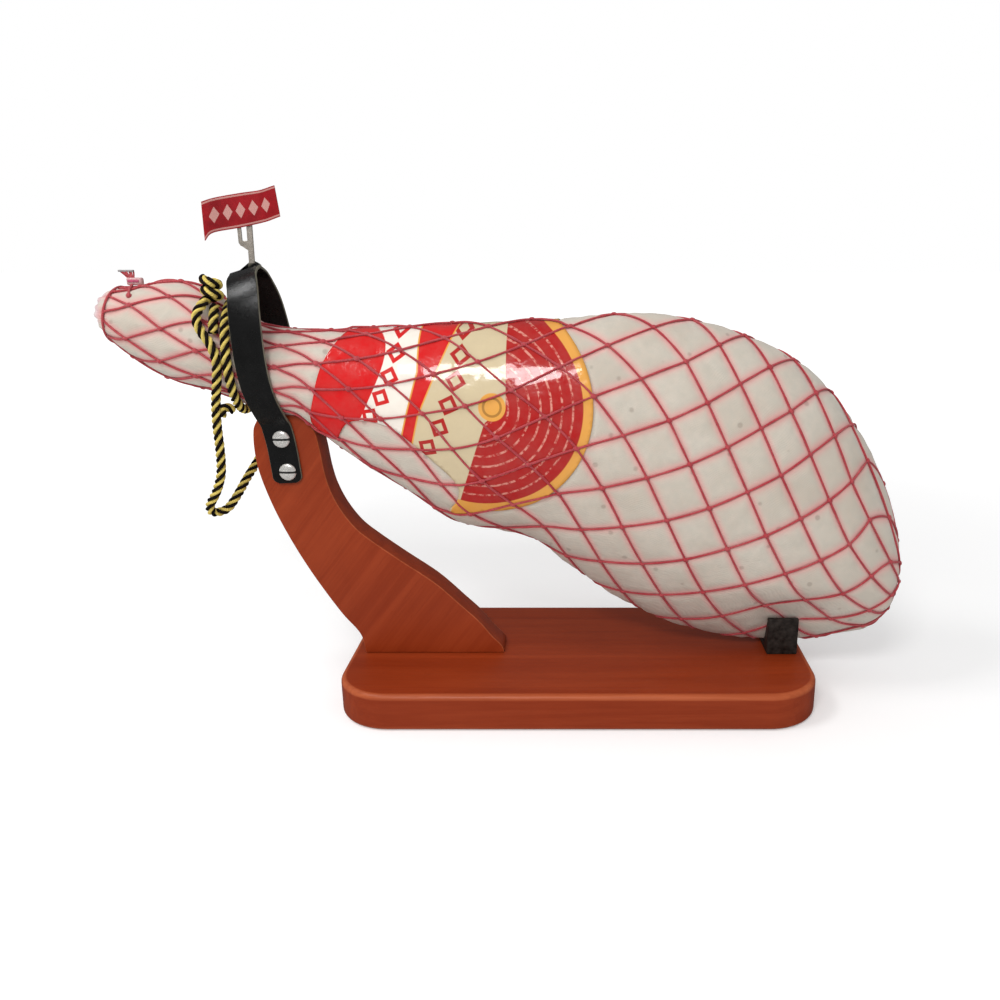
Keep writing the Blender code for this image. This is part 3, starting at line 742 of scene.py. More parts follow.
def make_thread_marks(name):
    """How near a place on the leg is to a thread of the net, from its lattice UV: 1 under a thread."""
    inputs = (
        ("Lattice", "NodeSocketVector", None),
        ("Cell", "NodeSocketFloat", 0.03),
        ("Reach", "NodeSocketFloat", 0.004),
    )
    tree, given, out = group_of(name, inputs, (("Mask", "NodeSocketFloat"),))
    parts = put(tree, "ShaderNodeSeparateXYZ", {0: given.outputs["Lattice"]})
    nearest = []
    for axis in (0, 1):
        folded = calc(tree, "PINGPONG", parts.outputs[axis], 0.5)
        nearest.append(calc(tree, "MULTIPLY", folded, given.outputs["Cell"]))
    off = calc(tree, "MINIMUM", *nearest)
    share = calc(tree, "DIVIDE", off, given.outputs["Reach"])
    fall = calc(tree, "EXPONENT", calc(tree, "MULTIPLY", calc(tree, "POWER", share, 2.0), -1.0))
    tree.links.new(fall, out.inputs["Mask"])
    return tree


def make_grain(name):
    """Fine wood grain along one direction of the given place: streaks and open pores."""
    inputs = (("Place", "NodeSocketVector", None), ("Width", "NodeSocketFloat", 0.004))
    outputs = (("Streak", "NodeSocketFloat"), ("Pore", "NodeSocketFloat"))
    tree, given, out = group_of(name, inputs, outputs)
    scale = calc(tree, "DIVIDE", 1.0, given.outputs["Width"])
    squeezed = put(
        tree,
        "ShaderNodeVectorMath",
        {0: given.outputs["Place"], 1: (0.035, 1.0, 1.0)},
        operation="MULTIPLY",
    )
    broad = put(
        tree,
        "ShaderNodeTexNoise",
        {
            "Vector": squeezed.outputs[0],
            "Scale": calc(tree, "MULTIPLY", scale, 0.35),
            "Detail": 5.0,
            "Roughness": 0.65,
            "Distortion": 0.6,
        },
    )
    fine = put(
        tree,
        "ShaderNodeTexNoise",
        {
            "Vector": squeezed.outputs[0],
            "Scale": calc(tree, "MULTIPLY", scale, 3.0),
            "Detail": 3.0,
            "Roughness": 0.7,
        },
    )
    streak = weigh(tree, broad.outputs[0], 0.7, fine.outputs[0], 0.3)
    tree.links.new(step_up(tree, streak, 0.32, 0.68), out.inputs["Streak"])
    tree.links.new(step_up(tree, fine.outputs[0], 0.62, 0.78), out.inputs["Pore"])
    return tree


def make_yarn(name):
    """Fine slanting fibres of a twisted yarn, from a UV of metres along and turns round."""
    inputs = (("Way", "NodeSocketVector", None), ("Fibre", "NodeSocketFloat", 0.0016))
    outputs = (("Height", "NodeSocketFloat"), ("Fuzz", "NodeSocketFloat"))
    tree, given, out = group_of(name, inputs, outputs)
    parts = put(tree, "ShaderNodeSeparateXYZ", {0: given.outputs["Way"]})
    way = calc(tree, "DIVIDE", parts.outputs[0], given.outputs["Fibre"])
    twist = calc(tree, "ADD", way, calc(tree, "MULTIPLY", parts.outputs[1], 2.0))
    wave = calc(tree, "SINE", calc(tree, "MULTIPLY", twist, 2 * math.pi))
    scaled = put(
        tree,
        "ShaderNodeVectorMath",
        {0: given.outputs["Way"], 1: (900.0, 3.0, 1.0)},
        operation="MULTIPLY",
    )
    fuzz = put(tree, "ShaderNodeTexNoise", {"Vector": scaled.outputs[0], "Scale": 1.0, "Detail": 3.0})
    height = calc(tree, "ADD", calc(tree, "MULTIPLY", wave, 0.35), fuzz.outputs[0])
    tree.links.new(height, out.inputs["Height"])
    tree.links.new(fuzz.outputs[0], out.inputs["Fuzz"])
    return tree


GROUPS = {
    "Mottle": make_mottle,
    "Specks": make_specks,
    "Knit": make_knit,
    "Thread Marks": make_thread_marks,
    "Wood Grain": make_grain,
    "Yarn Fibres": make_yarn,
}


def new_finish(name, roughness, metallic=0.0):
    """A material with its tree, its shader and the object's own coordinates."""
    finish = bpy.data.materials.new(name)
    finish.use_nodes = True
    tree = finish.node_tree
    shader = tree.nodes["Principled BSDF"]
    shader.inputs["Roughness"].default_value = roughness
    shader.inputs["Metallic"].default_value = metallic
    place = tree.nodes.new("ShaderNodeTexCoord").outputs["Object"]
    return finish, tree, shader, place


def link(tree, source, shader, socket):
    tree.links.new(source, shader.inputs[socket])


def bump(tree, shader, height, distance, strength=1.0):
    made = put(tree, "ShaderNodeBump", {"Height": height, "Distance": distance, "Strength": strength})
    tree.links.new(made.outputs[0], shader.inputs["Normal"])


def darker(colour, share):
    return tuple(share * c for c in colour[:3])


def attribute(tree, name):
    return put(tree, "ShaderNodeAttribute", attribute_name=name).outputs["Fac"]


def uv_of(tree, name):
    return put(tree, "ShaderNodeUVMap", uv_map=name).outputs[0]


def fade_tip(rings):
    return rings[0].mean(axis=0), rings[-1].mean(axis=0)


# ---- rope ----

ROPE_RADIUS = 0.004
STRANDS = 4
STRAND_RADIUS = 0.001657
STRAND_SAMPLES = 10
ROPE_RING_STEP = 0.0007
KNOT_MIDDLE = (-0.2970, -0.0255)
KNOT_RADIUS = 0.0053
KNOT_PITCH = 0.0084
KNOT_TURNS = 2
KNOT_STEPS = 12
KNOT_FOOT = 0.3535
TURN_MIDDLE = (-0.2890, 0.305)
TURN_LEAN = 0.0042
TURN_LEAN_DEGREES = 70
TURN_CLEARANCE = 0.0018
ROPE_LEAVE = 0.003
TUCK_SHIFT = -0.0082
TUCK_DEGREES = (331, 301)
ROPE_LOOP_ROUTE = (
    (-0.3026, -0.0320, 0.3510),
    (-0.3058, -0.0368, 0.3450),
    (-0.3062, -0.0398, 0.3375),
    (-0.3020, -0.0422, 0.3285),
    (-0.2955, -0.0438, 0.3190),
    (-0.2925, -0.0438, 0.3060),
    (-0.2945, -0.0425, 0.2900),
    (-0.2985, -0.0395, 0.2720),
    (-0.3012, -0.0360, 0.2520),
    (-0.3022, -0.0335, 0.2300),
    (-0.3050, -0.0305, 0.2090),
    (-0.3115, -0.0285, 0.1925),
    (-0.3195, -0.0260, 0.1795),
    (-0.3195, -0.0205, 0.1715),
    (-0.3105, -0.0130, 0.1725),
    (-0.3030, -0.0060, 0.1830),
    (-0.2965, 0.0060, 0.1970),
    (-0.2900, 0.0185, 0.2100),
    (-0.2850, 0.0250, 0.2240),
    (-0.2850, 0.0290, 0.2400),
    (-0.2880, 0.0335, 0.2560),
    (-0.2895, 0.0385, 0.2700),
)
ROPE_TAIL_ROUTE = (
    (-0.2975, -0.0060, 0.2590),
    (-0.3015, -0.0085, 0.2620),
    (-0.3050, -0.0105, 0.2615),
    (-0.3068, -0.0115, 0.2545),
)


def knot_route():
    """Wraps of rope round an upright line, from the top end down to the left-hand side."""
    to_go = np.linspace(KNOT_TURNS * 2 * math.pi, 0, KNOT_TURNS * KNOT_STEPS * 4 + 1)
    x = KNOT_MIDDLE[0] + KNOT_RADIUS * np.cos(math.pi - to_go)
    y = KNOT_MIDDLE[1] + KNOT_RADIUS * np.sin(math.pi - to_go)
    return np.stack([x, y, KNOT_FOOT + KNOT_PITCH * to_go / (2 * math.pi)], axis=1)


def turn_route(shift=0.0, stretch=range(0, 360, 5)):
    """Rope that leans round the shank, a rope's radius off its skin."""
    rows = LEG.points[::4, ::4]
    count, around = rows.shape[:2]
    faces = []
    for i in range(count - 1):
        for k in range(around - 1):
            low = i * around + k
            faces.append((low, low + 1, low + around + 1, low + around))
    skin = BVHTree.FromPolygons(rows.reshape(-1, 3).tolist(), faces)
    points = []
    for degrees in stretch:
        angle = math.radians(degrees)
        x = TURN_MIDDLE[0] + shift - TURN_LEAN * math.cos(angle - math.radians(TURN_LEAN_DEGREES))
        outward = Vector((0, math.sin(angle), math.cos(angle)))
        outside = Vector((x, 0, TURN_MIDDLE[1])) + outward * HAM_TOP[0][1]
        points.append(skin.ray_cast(outside, -outward)[0] + outward * (ROPE_RADIUS + TURN_CLEARANCE))
    return np.array(points)


def loop_route():
    """The hanging rope from the knot's last wrap to its end behind the strap."""
    knot = knot_route()
    onward = unit(knot[-1] - knot[-2])
    start = knot[-1] + onward * GAP
    route = smooth_line([start + onward * ROPE_LEAVE, *ROPE_LOOP_ROUTE])
    return np.vstack([start, route])


def rope_section():
    """Angle and radius round a rope of strands that lie side by side."""
    samples = STRANDS * STRAND_SAMPLES
    angles = np.arange(samples) * 2 * math.pi / samples
    offset = ROPE_RADIUS - STRAND_RADIUS
    off_middle = (angles + math.pi / STRANDS) % (2 * math.pi / STRANDS) - math.pi / STRANDS
    inside = np.maximum(STRAND_RADIUS**2 - (offset * np.sin(off_middle)) ** 2, 0)
    return angles, offset * np.cos(off_middle) + np.sqrt(inside)


def laid_rope(route, lay, closed=False, side=None, phase=0.0):
    """Rings and UVs of a laid rope along a route, and the side and phase that it ends with."""
    line = np.vstack([route, route[:1]]) if closed else route
    length = travelled(line)[-1]
    count = round(length / ROPE_RING_STEP)
    path = along(line, np.linspace(0, 1, count + 1))
    if closed:
        # Runs on past its start, so that the last frame can be told from the first
        path = np.vstack([path, path[1:2]])
    across, over, _ = frames_along(path, side)
    twist = 2 * math.pi * length / lay
    if closed:
        path = path[: count + 1]
        slip = math.atan2(across[count].dot(over[0]), across[count].dot(across[0]))
        twist = 2 * math.pi * round(length / lay) - slip
    angles, radii = rope_section()
    turns = phase + twist * np.linspace(0, 1, count + 1)
    spun = angles[None, :] + turns[:, None]
    around = np.stack([spun * 0, spun, angles + spun * 0], axis=2)
    uneven = 1 - 0.018 * (1 + ripple(path[:, None] + around * 0.002, 0.006, 5))
    reach = radii[None, :] * np.minimum(uneven, 1.0)
    sideways = across[: count + 1, None] * np.cos(spun)[..., None]
    upwards = over[: count + 1, None] * np.sin(spun)[..., None]
    rings = path[:, None] + reach[..., None] * (sideways + upwards)
    ways = np.linspace(0, length, count + 1)
    strands = (np.arange(len(angles) + 1) + STRAND_SAMPLES / 2) / STRAND_SAMPLES
    uv = np.stack(np.meshgrid(ways, strands, indexing="ij"), axis=2)
    if closed:
        rings = rings[:count]
    return rings, uv, (across[count], turns[-1]), path


def rope_finish(looks):
    finish, tree, shader, place = new_finish("rope_yarn", 0.8)
    shader.inputs["Specular IOR Level"].default_value = 0.2
    way = uv_of(tree, "Way")
    parts = put(tree, "ShaderNodeSeparateXYZ", {0: way})
    odd = calc(tree, "PINGPONG", calc(tree, "FLOOR", parts.outputs[1]), 1.0)
    yarn = use(tree, "Yarn Fibres", {"Way": way, "Fibre": 0.0011})
    light = blend(tree, yarn["Fuzz"], darker(looks.light, 0.55), looks.light)
    dark = blend(tree, yarn["Fuzz"], darker(looks.dark, 0.3), looks.dark)
    soiled = use(tree, "Mottle", {"Place": place, "Size": 0.012, "Contrast": 1.0})["Mask"]
    colour = blend(tree, odd, light, dark)
    on_light = calc(tree, "MULTIPLY", calc(tree, "SUBTRACT", 1.0, odd), 0.22)
    colour = blend(tree, calc(tree, "MULTIPLY", soiled, on_light), colour, (0.16, 0.10, 0.03))
    link(tree, colour, shader, "Base Color")
    bump(tree, shader, yarn["Height"], 0.0005, 0.8)
    return finish


def make_rope(looks):
    finish = rope_finish(looks)
    knot, knot_uv, (side, phase), _ = laid_rope(knot_route(), looks.lay)
    loop, loop_uv, _, path = laid_rope(loop_route(), looks.lay, side=side, phase=phase)
    turn, turn_uv, _, _ = laid_rope(turn_route(), looks.lay, closed=True)
    tail, tail_uv, _, _ = laid_rope(smooth_line(ROPE_TAIL_ROUTE), looks.lay)
    tuck_route = turn_route(TUCK_SHIFT, np.linspace(*TUCK_DEGREES, 11))
    tuck, tuck_uv, _, _ = laid_rope(smooth_line(tuck_route), looks.lay)
    for name, rings, uv, closed, nodes in (
        ("knotted_rope", knot, knot_uv, False, ["rope_knot"]),
        ("rope_round_shank", turn, turn_uv, True, ["rope_turn"]),
        ("rope_end", tail, tail_uv, False, ["rope_tail"]),
        ("tucked_rope_end", tuck, tuck_uv, False, ()),
        ("hanging_rope", loop, loop_uv, False, ["rope_loop"]),
    ):
        tips = (None, None) if closed else fade_tip(rings)
        points, faces, corners = strip(rings, closed, uv, tips)
        mesh = mesh_of(name, points, faces, corners)
        add_piece(name, mesh, [finish], nodes)


# ---- label outline, which the sleeve gives way to ----

LABEL_END = (
    (-0.1700, 0.3480),
    (-0.1975, 0.3230),
    (-0.2110, 0.3000),
    (-0.2190, 0.2750),
    (-0.2250, 0.2560),
    (-0.2235, 0.2460),
)
LABEL_FOOT = (
    (-0.2040, 0.2390),
    (-0.1890, 0.2560),
    (-0.1610, 0.2545),
    (-0.1385, 0.2400),
    (-0.1040, 0.2070),
    (-0.1025, 0.1890),
    (-0.1115, 0.1765),
    (-0.1010, 0.1725),
)
LABEL_ROUND_MIDDLE = (-0.0790, 0.2690)
LABEL_ROUND_RADIUS = 0.0910
LABEL_ROUND_DEGREES = (-92, 72)
LABEL_THICKNESS = 0.0004
LABEL_LIFT = 0.0011
# The print, seen from the side: rows of lozenges as (radius, spacing), lozenges as half widths
SWEEP_MIDDLE = (-0.26, 0.33)
WHITE_ROW = (0.1120, 0.0185)
CREAM_ROW = (0.1650, 0.0200)
LOZENGE = 0.43
WHITE_LOZENGE_HOLE = 0.19
CREAM_LOZENGE_HOLE = 0.21
END_FIELD_MIDDLE = (-0.1925, 0.2855)
END_FIELD_DEGREES = 63.7
END_FIELD_HALVES = (0.050, 0.0235)
GOLDEN_SPOT = (-0.0702, 0.2700)


def label_outline():
    """The label's outline from the side, as closely set (x, z) points."""
    angles = np.radians(np.linspace(*LABEL_ROUND_DEGREES, 90))
    circle = np.stack([np.cos(angles), np.sin(angles)], axis=1) * LABEL_ROUND_RADIUS
    end = smooth_line(LABEL_END, 12)
    foot = smooth_line(LABEL_FOOT, 8)
    return np.vstack([end, foot, circle + LABEL_ROUND_MIDDLE])


LABEL_OUTLINE = label_outline()


def label_depth(points):
    """How far inside the label's outline each point is, seen from the side, and minus outside it."""
    x, z = points[..., 0].ravel(), points[..., 2].ravel()
    start = LABEL_OUTLINE
    end = np.roll(start, -1, axis=0)
    span = end - start
    nearest = np.full(len(x), np.inf)
    inside = np.zeros(len(x), bool)
    for (ax, az), (_, bz), (sx, sz) in zip(start, end, span):
        t = np.clip(((x - ax) * sx + (z - az) * sz) / (sx * sx + sz * sz + 1e-12), 0, 1)
        nearest = np.minimum(nearest, np.hypot(x - ax - t * sx, z - az - t * sz))
        crossing = (az > z) != (bz > z)
        if sz:
            inside ^= crossing & (x < ax + (z - az) * sx / sz)
    return np.where(inside, nearest, -nearest).reshape(points.shape[:-1])


# ---- sleeve ----

CLOTH_ALONG = 400
CLOTH_ROUND = 232
CRADLE_X = (-0.295, -0.195)
END_FOLDS = 15


def pressed(points):
    """1 where the leg lies on wood or rubber, and 0 away from it."""
    x, y, z = points[..., 0], points[..., 1], points[..., 2]
    near_upright = 1 - ease(np.abs(y), 0.014, 0.019)
    in_cradle = ease(x, CRADLE_X[0] - 0.004, CRADLE_X[0]) * (1 - ease(x, CRADLE_X[1], CRADLE_X[1] + 0.012))
    below = 1 - ease(z, 0.285, 0.300)
    in_block = ease(x, REST_X[0] - 0.008, REST_X[0]) * (1 - ease(x, REST_X[1], REST_X[1] + 0.008))
    low = 1 - ease(z, 0.066, 0.080)
    return np.maximum(near_upright * in_cradle * below, in_block * low)


def cell_sizes(points, row, column):
    """The distance between neighbouring threads of one family at each place."""
    ahead = np.linalg.norm(np.gradient(points, axis=0), axis=2)
    sideways = np.linalg.norm(np.gradient(points, axis=1), axis=2)
    tall = ahead / np.maximum(np.abs(np.gradient(row, axis=0)), 1e-5)
    wide = 0.5 * sideways / np.maximum(np.abs(np.gradient(column, axis=1)), 1e-5)
    return np.clip(2 * wide * tall / np.hypot(wide, tall), 0.004, 0.06)


def cloth_finish(looks):
    finish, tree, shader, place = new_finish("cotton_knit", 0.9)
    shader.inputs["Sheen Weight"].default_value = 0.2
    cell = attribute(tree, "Cell")
    lattice = uv_of(tree, "Lattice")
    wide = use(tree, "Thread Marks", {"Lattice": lattice, "Cell": cell, "Reach": looks.halo})["Mask"]
    thread_shadow = use(tree, "Thread Marks", {"Lattice": lattice, "Cell": cell, "Reach": 0.0016})["Mask"]
    clouds = use(tree, "Mottle", {"Place": place, "Size": 0.06, "Contrast": 1.2})["Mask"]
    fine = use(tree, "Mottle", {"Place": place, "Size": 0.006, "Contrast": 1.5})["Mask"]
    dirt = use(tree, "Specks", {"Place": place, "Spacing": 0.022, "Dot Share": 0.13})["Mask"]
    knit = use(tree, "Knit", {"Place": place, "Stitch": 0.0013})
    colour = blend(tree, clouds, looks.cloth, looks.shade)
    colour = blend(tree, calc(tree, "MULTIPLY", fine, 0.35), colour, looks.grey)
    colour = blend(tree, calc(tree, "MULTIPLY", wide, 0.70), colour, looks.dye)
    # Painted shadow: a darker dye-coloured line right beside each thread, where the thread shades the cloth
    colour = blend(tree, calc(tree, "MULTIPLY", thread_shadow, 0.45), colour, darker(looks.dye, 0.55))
    colour = blend(tree, calc(tree, "MULTIPLY", dirt, 0.35), colour, (0.17, 0.12, 0.09))
    # Painted shade: the cloth darker in the knit's gaps
    colour = blend(tree, calc(tree, "MULTIPLY", knit["Gap"], 0.16), colour, darker(looks.shade, 0.45))
    gathered = attribute(tree, "Gathered")
    colour = blend(tree, calc(tree, "MULTIPLY", gathered, 0.7), colour, looks.end)
    link(tree, colour, shader, "Base Color")
    bump(tree, shader, knit["Height"], 0.0004, 0.6)
    return finish


def make_sleeve(looks):
    share = np.linspace(0, 1, CLOTH_ALONG + 2)[1:-1]
    turn = np.linspace(0, 1, CLOTH_ROUND + 1)
    share, turn = np.meshgrid(share, turn, indexing="ij")
    skin = LEG.at(share, turn)
    row, column = NET.rows_at(share, turn)
    cell = cell_sizes(skin, row, column)
    family_one = row / 2 + column
    family_two = row / 2 - column
    off_one = np.abs(family_one - np.round(family_one)) * cell
    off_two = np.abs(family_two - np.round(family_two)) * cell
    off = np.minimum(off_one, off_two)
    full = 1 - np.exp(-((off / 0.0055) ** 2))
    wrinkle = 0.35 * ripple(skin, 0.03, 11) + 0.25 * ripple(skin, 0.011, 12)
    lift = looks.puff * full * (1 + 0.35 * wrinkle) + 0.0003 * wrinkle - 0.0006
    folds = 1 - ease(share, 0.010, 0.045)
    wander = 0.35 * np.sin(2 * math.pi * turn * 2 + 1) + 9 * share
    lift = lift - 0.0013 * folds * np.sin(math.pi * END_FOLDS * turn + wander) ** 2
    under_label = ease(label_depth(skin), -0.004, 0.0)
    lift = lift * (1 - under_label) - 0.0003 * under_label
    held = pressed(skin)
    lift = lift * (1 - held) - 0.0001 * held
    rings = LEG.at(share, turn, lift)[:, :-1]
    uv = np.stack([family_one, family_two], axis=2)
    uv = np.vstack([uv, uv[-1:]])
    tips = LEG.points[0, 0], LEG.points[-1, 0]
    points, faces, corners = strip(rings, False, uv, tips)
    mesh = mesh_of("cotton_sleeve", points, faces, corners, "Lattice")
    write_mask(mesh, "Cell", [*cell[:, :-1].ravel(), 0.01, 0.01])
    gathered = 1 - ease(share[:, :-1], 0.018, 0.030)
    write_mask(mesh, "Gathered", [*gathered.ravel(), 1, 0])
    add_piece("cotton_sleeve", mesh, [cloth_finish(looks)], ["ham"])


# ---- net ----

# The share of the leg at which the net's end loops are drawn together
END_LOOPS = 0.034
THREAD_STEPS = 8
THREAD_SIDES = 8
KNOT_ROWS = (-10, 15)


def thread_lift(places):
    """How high the middle of a thread lies over the skin."""
    on_label = ease(label_depth(places), -0.003, 0.001)
    lift = 0.0003 + 0.0016 * on_label
    return lift * (1 - pressed(places)) - 0.0006 * pressed(places)


def thread_line(family, number):
    rows = np.linspace(NET_FIRST_ROW, NET_LAST_ROW, (NET_LAST_ROW - NET_FIRST_ROW) * THREAD_STEPS + 1)
    column = number - rows / 2 if family == 0 else rows / 2 - number
    turn = NET.turn(column, rows)
    share = np.clip(NET.share(rows, turn), END_LOOPS, 0.9995)
    lift = thread_lift(LEG.at(share, turn))
    # The two families lie a little over and under each other between knots
    wave = 0.00025 * np.sin(math.pi * rows) * (1 if family else -1)
    return LEG.at(share, turn, lift + wave), share


def net_finish(looks):
    finish, tree, shader, place = new_finish("net_cotton", 0.75)
    shader.inputs["Sheen Weight"].default_value = 0.15
    yarn = use(tree, "Yarn Fibres", {"Way": uv_of(tree, "Way"), "Fibre": 0.0012})
    worn = use(tree, "Mottle", {"Place": place, "Size": 0.02, "Contrast": 1.3})["Mask"]
    colour = blend(tree, worn, looks.thread, looks.worn)
    colour = blend(tree, yarn["Fuzz"], darker(looks.thread, 0.35), colour)
    link(tree, colour, shader, "Base Color")
    bump(tree, shader, yarn["Height"], 0.0004, 0.8)
    return finish


def blob(middle, axes, lengths, sides=10, rings=6):
    """A closed rounded blob with three half lengths along three directions."""
    heights = np.cos(np.linspace(0, math.pi, rings + 2)[1:-1])
    angles = np.arange(sides) * 2 * math.pi / sides
    rows = []
    for height in heights:
        reach = math.sqrt(1 - height**2)
        rows.append(
            middle
            + axes[0] * lengths[0] * height
            + np.outer(np.cos(angles), axes[1]) * lengths[1] * reach
            + np.outer(np.sin(angles), axes[2]) * lengths[2] * reach
        )
    rows = np.array(rows)
    ways = np.linspace(0, 0.006, rings)
    uv = np.stack(np.meshgrid(ways, np.linspace(0, 1, sides + 1), indexing="ij"), axis=2)
    tips = middle + axes[0] * lengths[0], middle - axes[0] * lengths[0]
    return strip(rows, False, uv, tips)


def thread_tube(path, radius, sides=THREAD_SIDES):
    rings = tube(path, radius, sides)
    uv = np.stack(np.meshgrid(travelled(path), np.linspace(0, 1, sides + 1), indexing="ij"), axis=2)
    return strip(rings, False, uv, fade_tip(rings))


def make_net(looks):
    finish = net_finish(looks)
    threads = []
    for family in (0, 1):
        for number in range(NET_COLUMNS):
            path, share = thread_line(family, number)
            keep = share < 0.999
            path = path[keep]
            radius = looks.thickness / 2 * (1 + 0.10 * ripple(path, 0.012, 21 + number))
            threads.append(thread_tube(path, radius))
    turns = np.linspace(0, 1, 73)
    threads.append(thread_tube(LEG.at(END_LOOPS, turns, 0.0010), 0.0010))
    mesh = mesh_of("net_threads", *join(threads))
    add_piece("net_threads", mesh, [finish])
    knots = []
    dice = np.random.default_rng(3)
    for row in range(*KNOT_ROWS):
        for number in range(NET_COLUMNS):
            column = number + (row % 2) / 2
            turn = NET.turn([column], [row])[0]
            share = float(np.clip(NET.share(row, turn), END_LOOPS, 0.9995))
            if share > 0.985:
                continue
            place = LEG.at(share, turn)
            lift = float(thread_lift(place)) + 0.0005
            outward = unit(LEG.read(LEG.normals, np.array(share), np.array(turn)))
            ahead = LEG.at(min(share + 0.002, 1), turn) - place
            ahead = unit(ahead - ahead.dot(outward) * outward)
            size = looks.knot / 2 * dice.uniform(0.85, 1.15)
            axes = ahead, np.cross(outward, ahead), outward
            knots.append(blob(place + outward * lift, axes, (size * 1.25, size, 0.72 * size)))
    tip = LEG.points[-1, 0]
    knots.append(blob(tip, np.eye(3), (0.0020, 0.0045, 0.0045)))
    mesh = mesh_of("net_knots", *join(knots))
    add_piece("net_knots", mesh, [finish])


# ---- label ----


def label_sheet():
    """The label laid flat as (metres along, metres from the top), the front half positive."""
    front = []
    for x, z in LABEL_OUTLINE:
        share, turn, height = LEG.place_of(x, z)
        if height < 0.9995:
            front.append((share * LEG.length, turn * float(LEG.girth(share))))
    front = np.array(front)
    first = (front[0, 0] + 0.3 * (front[0, 0] - front[1, 0]), 0.0)
    last = (front[-1, 0] + 0.3 * (front[-1, 0] - front[-2, 0]), 0.0)
    back = front[::-1] * (1, -1)
    return np.vstack([first, front, last, back])


def make_label(looks):
    """A flat outline filled with an even mesh of triangles, then laid on the leg over its top."""
    edge = label_sheet()
    low, high = edge.min(axis=0), edge.max(axis=0)
    step = 0.0026
    inner = []
    for number, v in enumerate(np.arange(low[1] + step / 2, high[1], step * 0.87)):
        shift = step / 2 * (number % 2)
        inner += [(u, v) for u in np.arange(low[0] + shift, high[0], step)]
    inner = np.array(inner)
    start, end = edge, np.roll(edge, -1, axis=0)
    inside = np.zeros(len(inner), bool)
    nearest = np.full(len(inner), np.inf)
    for (au, av), (bu, bv) in zip(start, end):
        su, sv = bu - au, bv - av
        t = ((inner[:, 0] - au) * su + (inner[:, 1] - av) * sv) / (su * su + sv * sv + 1e-12)
        t = np.clip(t, 0, 1)
        nearest = np.minimum(nearest, np.hypot(inner[:, 0] - au - t * su, inner[:, 1] - av - t * sv))
        if sv:
            crossing = (av > inner[:, 1]) != (bv > inner[:, 1])
            inside ^= crossing & (inner[:, 0] < au + (inner[:, 1] - av) * su / sv)
    inner = inner[inside & (nearest > 0.0013)]
    flat = [Vector(point) for point in np.vstack([edge, inner])]
    count = len(edge)
    border = [(k, (k + 1) % count) for k in range(count)]
    laid = delaunay_2d_cdt(flat, border, [], 1, 1e-7)
    places = np.array([tuple(point) for point in laid[0]])
    share = places[:, 0] / LEG.length
    turn = places[:, 1] / LEG.girth(share)
    skin = LEG.at(share, turn)
    lift = LABEL_LIFT + 0.00022 * ripple(skin, 0.035, 31) + 0.00012 * ripple(skin, 0.014, 32)
    points = LEG.at(share, turn, lift)
    mesh = bpy.data.meshes.new("printed_label")
    mesh.from_pydata(points.tolist(), [], [tuple(face) for face in laid[2]])
    mesh.update()
    first = mesh.polygons[0]
    outward = LEG.read(LEG.normals, np.array(share[first.vertices[0]]), np.array(turn[first.vertices[0]]))
    if Vector(outward).dot(first.normal) < 0:
        mesh.flip_normals()
    piece = add_piece("printed_label", mesh, [label_finish(looks)], ["label"])
    thick = piece.modifiers.new("thickness", "SOLIDIFY")
    thick.thickness = LABEL_THICKNESS
    thick.offset = -1


def away_from(tree, across, up, middle):
    """Distance from a middle, seen from the side."""
    x = calc(tree, "SUBTRACT", across, middle[0])
    z = calc(tree, "SUBTRACT", up, middle[1])
    squares = calc(tree, "ADD", calc(tree, "MULTIPLY", x, x), calc(tree, "MULTIPLY", z, z))
    return calc(tree, "SQRT", squares)


def band(tree, value, start, end, soft=0.0004):
    """1 between start and end."""
    rising = step_up(tree, value, start - soft, start + soft)
    falling = step_up(tree, value, end - soft, end + soft)
    return calc(tree, "MULTIPLY", rising, calc(tree, "SUBTRACT", 1.0, falling))


def chain(tree, across, up, middle, radius, spacing, size):
    """A row of lozenges along a circle."""
    x = calc(tree, "SUBTRACT", across, middle[0])
    z = calc(tree, "SUBTRACT", up, middle[1])
    way = calc(tree, "MULTIPLY", calc(tree, "ARCTAN2", z, x), radius / spacing)
    off = calc(tree, "SUBTRACT", away_from(tree, across, up, middle), radius)
    off = calc(tree, "DIVIDE", calc(tree, "ABSOLUTE", off), spacing)
    spread = calc(tree, "ADD", calc(tree, "PINGPONG", way, 0.5), off)
    return calc(tree, "SUBTRACT", 1.0, step_up(tree, spread, size, size + 0.04))


